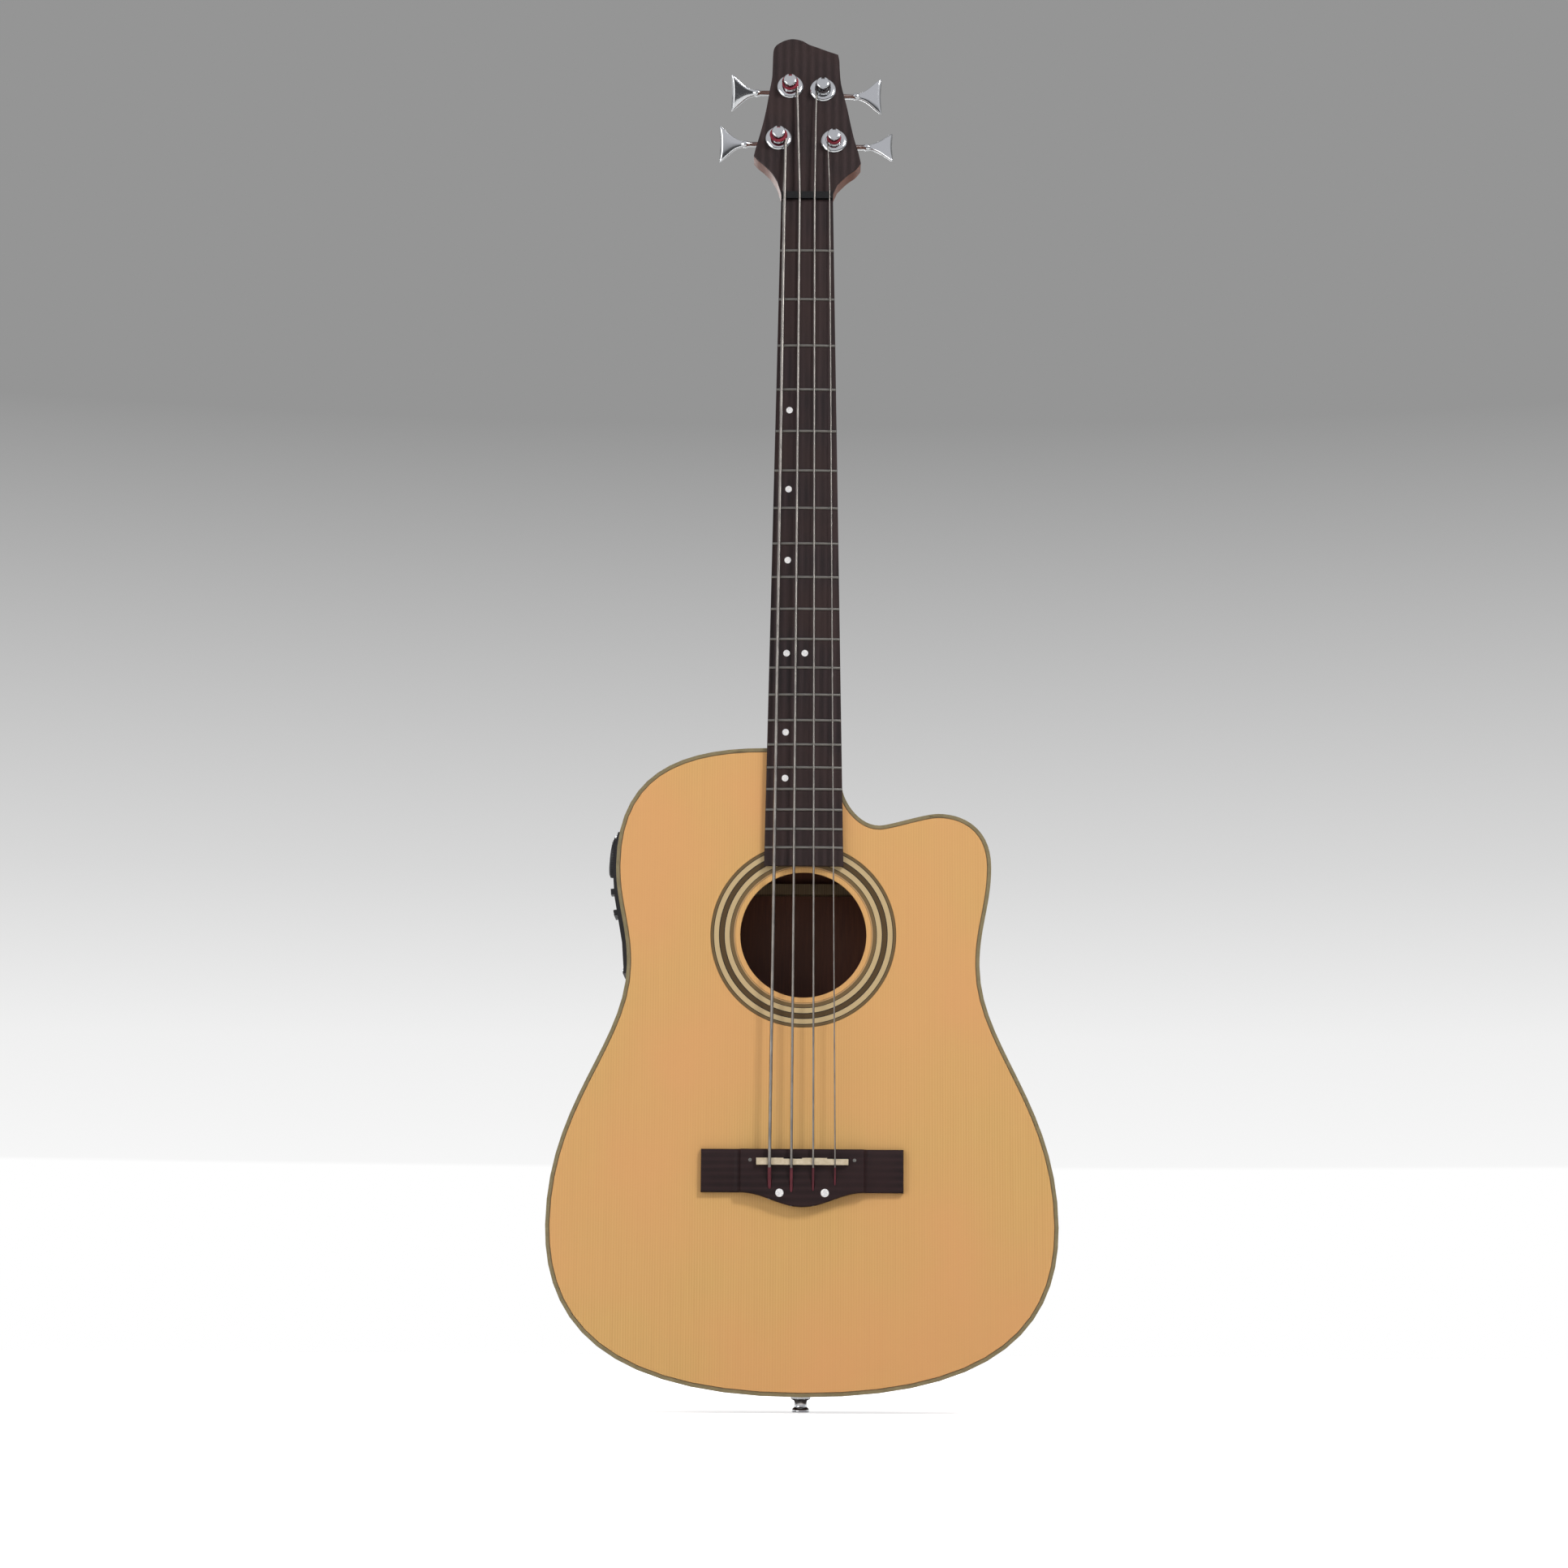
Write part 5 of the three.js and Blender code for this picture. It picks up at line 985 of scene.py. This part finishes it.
# Black console plastic has a fine spark-eroded grain and a satin face.
# The box behind it is duller, and the knob and the caps are smoother.
console_plastic = mottled("black_console_plastic", ("#18181A", "#232326"), {"Roughness": 0.5}, 0.0005,
                          0.00003)
box_plastic = mottled("black_box_plastic", ("#151516", "#1C1C1E"), {"Roughness": 0.6}, 0.001, 0.00002)
knob_plastic = mottled("black_knob_plastic", ("#1A1A1C", "#262629"), {"Roughness": 0.38}, 0.0007, 0.00002)
paint(console_plastic, "preamp_panel", "battery_door")
paint(box_plastic, "preamp_housing")
paint(knob_plastic, "preamp_button", *[f"eq_slider_{i}" for i in range(1, 5)])


def on_panel(z):
    """The point on the panel's face at one height, and its outward way."""
    for a, b in zip(panel_line, panel_line[1:]):
        if a.x < -waist_half / 2 and a.y >= z > b.y:
            along = (b - a).normalized()
            spot = a.lerp(b, (a.y - z) / (a.y - b.y))
            return Vector((spot.x, (panel_low.y + panel_high.y) / 2, z)), Vector((along.y, 0, -along.x))


def rung(middle, half):
    """The ends of a short line across the panel."""
    return [middle + Vector((0, y, 0)) for y in (-half, half)]


# The knob is a low disc with a ribbed rim, a dished top and a white pointer.
knob_joint = swings["volume"]
knob_out = Vector(knob_joint["axis"]).normalized()
knob_place = Matrix.Translation(knob_joint["pos_m"]) @ knob_out.to_track_quat("Y", "Z").to_matrix().to_4x4()
knob_profile = [(0, -0.012), (0.003, -0.012), (0.003, 0.0046), (0.0166, 0.0046), (0.0166, 0.0062),
                (0.0162, 0.0071), (0.015, 0.0079), (0.0125, 0.0084), (0.0105, 0.0085), (0.0098, 0.0082),
                (0.004, 0.0079), (0, 0.0079)]
rib_count, rib_reach, rib_radius, rib_ends = 48, 0.01655, 0.0004, (0.0047, 0.0068)
pointer_line = [(0.0096, 0.00825), (0.0106, 0.0086), (0.0125, 0.0085), (0.0148, 0.0081)]
knob_disc = turned("knob_disc", knob_profile, knob_place, knob_plastic, "volume", 72)
rib_spots = [(spot.x, spot.y) for spot in circle(0, 0, rib_reach, rib_count)]
stand_for("volume_knob", "black_plastic", knob_disc, cords(
    "knob_ribs", [[knob_place @ Vector((x, y, z)) for y in rib_ends] for x, z in rib_spots], rib_radius,
    knob_plastic, "volume"))
# White ink is pad-printed: thin, flat and slightly worn.
white_ink = mottled("white_pad_print", ("#CFCFCC", "#E4E4E1"), {"Roughness": 0.55}, 0.0006, 0.000005)
pointer = [knob_place @ Vector((0, y, reach)) for reach, y in pointer_line]
cords("knob_pointer", [pointer], rib_radius, white_ink, "volume")

# Slider caps: ridges across each cap for the fingertip, moulded with it, the middle one printed white.
# Scale marks are printed on the panel beside the slots.
slider_up = Vector(swings["slider_1"]["axis"]).normalized()
slider_out = Vector((-slider_up.z, 0, slider_up.x))
ridge_step, ridge_half, ridge_radius, face_depth = 0.00085, 0.0021, 0.00026, 0.0001
slider_middles = []
for i in range(1, 5):
    spots = [corner.co for corner in nodes[f"eq_slider_{i}"].data.vertices]
    far = max(spot.dot(slider_out) for spot in spots)
    cap = [spot for spot in spots if spot.dot(slider_out) > far - face_depth]
    middle = Vector([(min(s[k] for s in cap) + max(s[k] for s in cap)) / 2 for k in range(3)])
    slider_middles.append(middle)
    for label, steps, cover, slot in (("grip", (-2, -1, 1, 2), knob_plastic, "black_plastic"),
                                      ("mark", (0,), white_ink, "bone")):
        ridges = [rung(middle + slider_up * ridge_step * step, ridge_half) for step in steps]
        cords(f"slider_{label}_{i}", ridges, ridge_radius, cover, f"slider_{i}")
scale_half, scale_travel, scale_depth, scale_line_radius = 0.0009, 0.006, 0.00006, 0.00012
slider_gap = slider_middles[0].y - slider_middles[1].y
scale_lines = []
for step in range(-4, 5):
    spot, out = on_panel(slider_middles[0].z + scale_travel * step / 4)
    half = scale_half if step in (-4, 0, 4) else scale_half / 2
    for column in range(-2, 3):
        ends = (column * slider_gap - half, column * slider_gap + half)
        scale_lines.append([spot - out * scale_depth + Vector((0, y, 0)) for y in ends])
cords("scale_marks", scale_lines, scale_line_radius, white_ink, sides=6)

# Panel fixings: four small screws at the corners, and finger ribs along the top of the battery door.
# The ribs are moulded with the door.
screw_reach, low_screw_inset, high_screw_inset = 0.0175, 0.0027, 0.0035
for label, height in (("low", panel_low.z + low_screw_inset), ("high", panel_high.z - high_screw_inset)):
    spot, out = on_panel(height)
    screws(f"panel_screws_{label}", rung(spot, screw_reach), out.to_track_quat("Y", "Z").to_euler())
bpy.data.objects.remove(screw_head)
rib_inset, rib_gap, rib_half = 0.003, 0.0016, 0.009
first_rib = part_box("battery_door")[1].z - rib_inset
door_ribs = [rung(on_panel(first_rib - rib_gap * step)[0], rib_half) for step in range(5)]
cords("door_finger_ribs", door_ribs, rib_radius, console_plastic, "battery_cover")

# Battery: a nine-volt block in a printed tin can, loose in its well behind the door.
# Painted tin is blue-grey, with a soft metal shine.
paint(metal("painted_battery_can", "#4A5560", 0.4, 0.01, 0.00001), "battery")

# End-pin jack: a turned and chromed strap button with the socket bored through it, held by a nut inside the
# tail. Its barrel passes through the tail block.
pin_profile = [(0, 0.032), (0.00325, 0.032), (0.00325, -0.013), (0.0062, -0.013), (0.007, -0.0124),
               (0.007, -0.0108), (0.0066, -0.01), (0.0052, -0.0088), (0.0049, -0.006), (0.0054, -0.0036),
               (0.0076, -0.0025), (0.008, -0.0021), (0.008, -0.0003), (0.0058, -0.0003), (0.0058, 0.0248),
               (0.0085, 0.0248), (0.0085, 0.0278), (0.0058, 0.0278), (0.0058, 0.034), (0, 0.034)]
upright = Matrix.Rotation(radians(90), 4, "X")
stand_for("endpin_jack", "chrome", turned("end_pin", pin_profile, upright, chrome))

# Inside of the body: kerfed maple linings, maple blocks and bridge plate, and spruce braces glued under the
# plates. The wood is bare and only sanded.
# Bare spruce is coloured darker than its own pale straw, as painted shade inside the body; bare maple is a
# paler cream, both with fine straight fibres and no shine.
paint(grained_wood("bare_spruce_with_painted_shade", [(0.25, "#6E583D"), (0.5, "#7A6446"), (0.75, "#877052")], ring=0.002,
                   fibre=(0.0015, 0.08), patch=(0.1, "#735C40", 0.4), relief=0.00004,
                   finish={"Roughness": 0.7}),
      "x_brace", "upper_brace", "tone_bar", "back_brace_1", "back_brace_2", "back_brace_3")
paint(grained_wood("bare_maple", [(0.25, "#B99B73"), (0.5, "#C8AC84"), (0.75, "#D3BA95")], ring=0.004,
                   fibre=(0.0012, 0.04), patch=(0.06, "#BD9E76", 0.4), relief=0.00003,
                   finish={"Roughness": 0.65}),
      "top_lining", "back_lining", "neck_block", "tail_block", "bridge_plate")

# Truss rod: a steel rod in the neck with a hexagonal brass nut reached through the soundhole.
# Machined brass is a warm yellow with fine turning marks.
paint(metal("machined_brass", "#A8864A", 0.28, 0.003, 0.00001), "truss_nut")

# Stage: a white floor under the end pin that meets a plain background, pale at the horizon and grey above.
# The camera stands as the photograph's did: low down, looking a little upwards at the guitar.
floor_near_y, floor_far_y, floor_half, floor_thickness = -2.3, 8.0, 8.0, 0.01
floor_z, camera_lift = cad_bounds[0].z, 0.75
# White paper is matt. To the camera it is lit up to white, and still keeps the guitar's shadow.
paper = mottled("white_paper", ("#F1F1F1", "#F5F5F5"),
                {"Roughness": 0.9, "Emission Color": linear("#FFFFFF")}, 1 / 40)
tree = paper.node_tree
seen_by = add_node(tree, "ShaderNodeLightPath")
lift = add_node(tree, "ShaderNodeMath", {0: seen_by.outputs["Is Camera Ray"], 1: camera_lift},
                operation="MULTIPLY")
join(tree, tree.nodes["Principled BSDF"], {"Emission Strength": lift})
floor = block("floor", (-floor_half, floor_near_y, floor_z - floor_thickness),
              (floor_half, floor_far_y, floor_z), paper)
floor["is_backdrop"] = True

world = bpy.data.worlds.new("studio")
bpy.context.scene.world = world
world.use_nodes = True
sky = world.node_tree
sky.nodes.clear()
wall_foot, wall_top = 0.052, 0.36
ambient_level, room_dim, room_bright = 0.38, 0.1, 0.7
room_low, room_high, room_edge = -0.12, 0.06, 0.1
way = add_node(sky, "ShaderNodeSeparateXYZ", {0: add_node(sky, "ShaderNodeTexCoord").outputs["Generated"]})
ray = add_node(sky, "ShaderNodeLightPath")
# What the camera sees behind the guitar: a grey wall that pales downwards to a white floor line.
rise = add_node(sky, "ShaderNodeMapRange", {"Value": way.outputs["Z"], "From Min": wall_foot,
                                            "From Max": wall_top})
fade = set_ramp(add_node(sky, "ShaderNodeValToRGB", {"Fac": rise}), [
    (0.0, "#FFFFFF"), (0.004, "#F7F7F7"), (0.13, "#F0F0F0"), (0.3, "#D8D8D8"), (0.75, "#959595")])
seen = add_node(sky, "ShaderNodeBackground", {"Color": fade, "Strength": 1.0})
# What the metal and the lacquer mirror: that wall behind them, and before them a pale room, dark low down.
height = add_node(sky, "ShaderNodeMapRange", {
    "Value": way.outputs["Z"], "From Min": room_low, "From Max": room_high, "To Min": room_dim,
    "To Max": room_bright})
front = add_node(sky, "ShaderNodeBackground", {"Color": linear("#EDEDF2"), "Strength": height})
behind = add_node(sky, "ShaderNodeMapRange", {"Value": way.outputs["Y"], "From Min": -room_edge,
                                              "From Max": room_edge})
room = add_node(sky, "ShaderNodeMixShader", {0: behind, 1: front, 2: seen})
plain = add_node(sky, "ShaderNodeBackground", {"Color": linear("#F2F2F2"), "Strength": ambient_level})
mirrored = add_node(sky, "ShaderNodeMixShader", {0: ray.outputs["Is Glossy Ray"], 1: plain, 2: room})
choose = add_node(sky, "ShaderNodeMixShader", {0: ray.outputs["Is Camera Ray"], 1: mirrored, 2: seen})
add_node(sky, "ShaderNodeOutputWorld", {"Surface": choose})

# Three square soft boxes are aimed at the top end of the body: key, fill and back light.
lamp_aim = Vector((0, front_y, body_length))
for name, place, size, power in (("key_light", (1.5, -2.2, 2.3), 0.7, 56),
                                 ("fill_light", (-1.9, -2.0, 1.0), 1.6, 23.5),
                                 ("back_light", (-0.9, 2.6, 1.7), 1.8, 34)):
    light = bpy.data.lights.new(name, "AREA")
    light.shape = "SQUARE"
    light.size = size
    light.energy = power
    holder = put(name, light)
    holder.location = place
    holder.rotation_euler = (lamp_aim - Vector(place)).to_track_quat("-Z", "Y").to_euler()

camera_place, camera_tilt, camera_roll = (-0.0138, -2.622, 0.047), radians(9.94), radians(-0.35)
camera_data = bpy.data.cameras.new("camera")
camera_data.lens = 72.5
camera_data.sensor_width = 36
camera = put("camera", camera_data)
camera.location = camera_place
camera.rotation_euler = (radians(90) + camera_tilt, camera_roll, 0)
bpy.context.scene.camera = camera
bpy.context.scene.view_settings.view_transform = "Standard"

size = {"cad": [list(corner) for corner in cad_bounds], "visual": [list(corner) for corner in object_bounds()]}
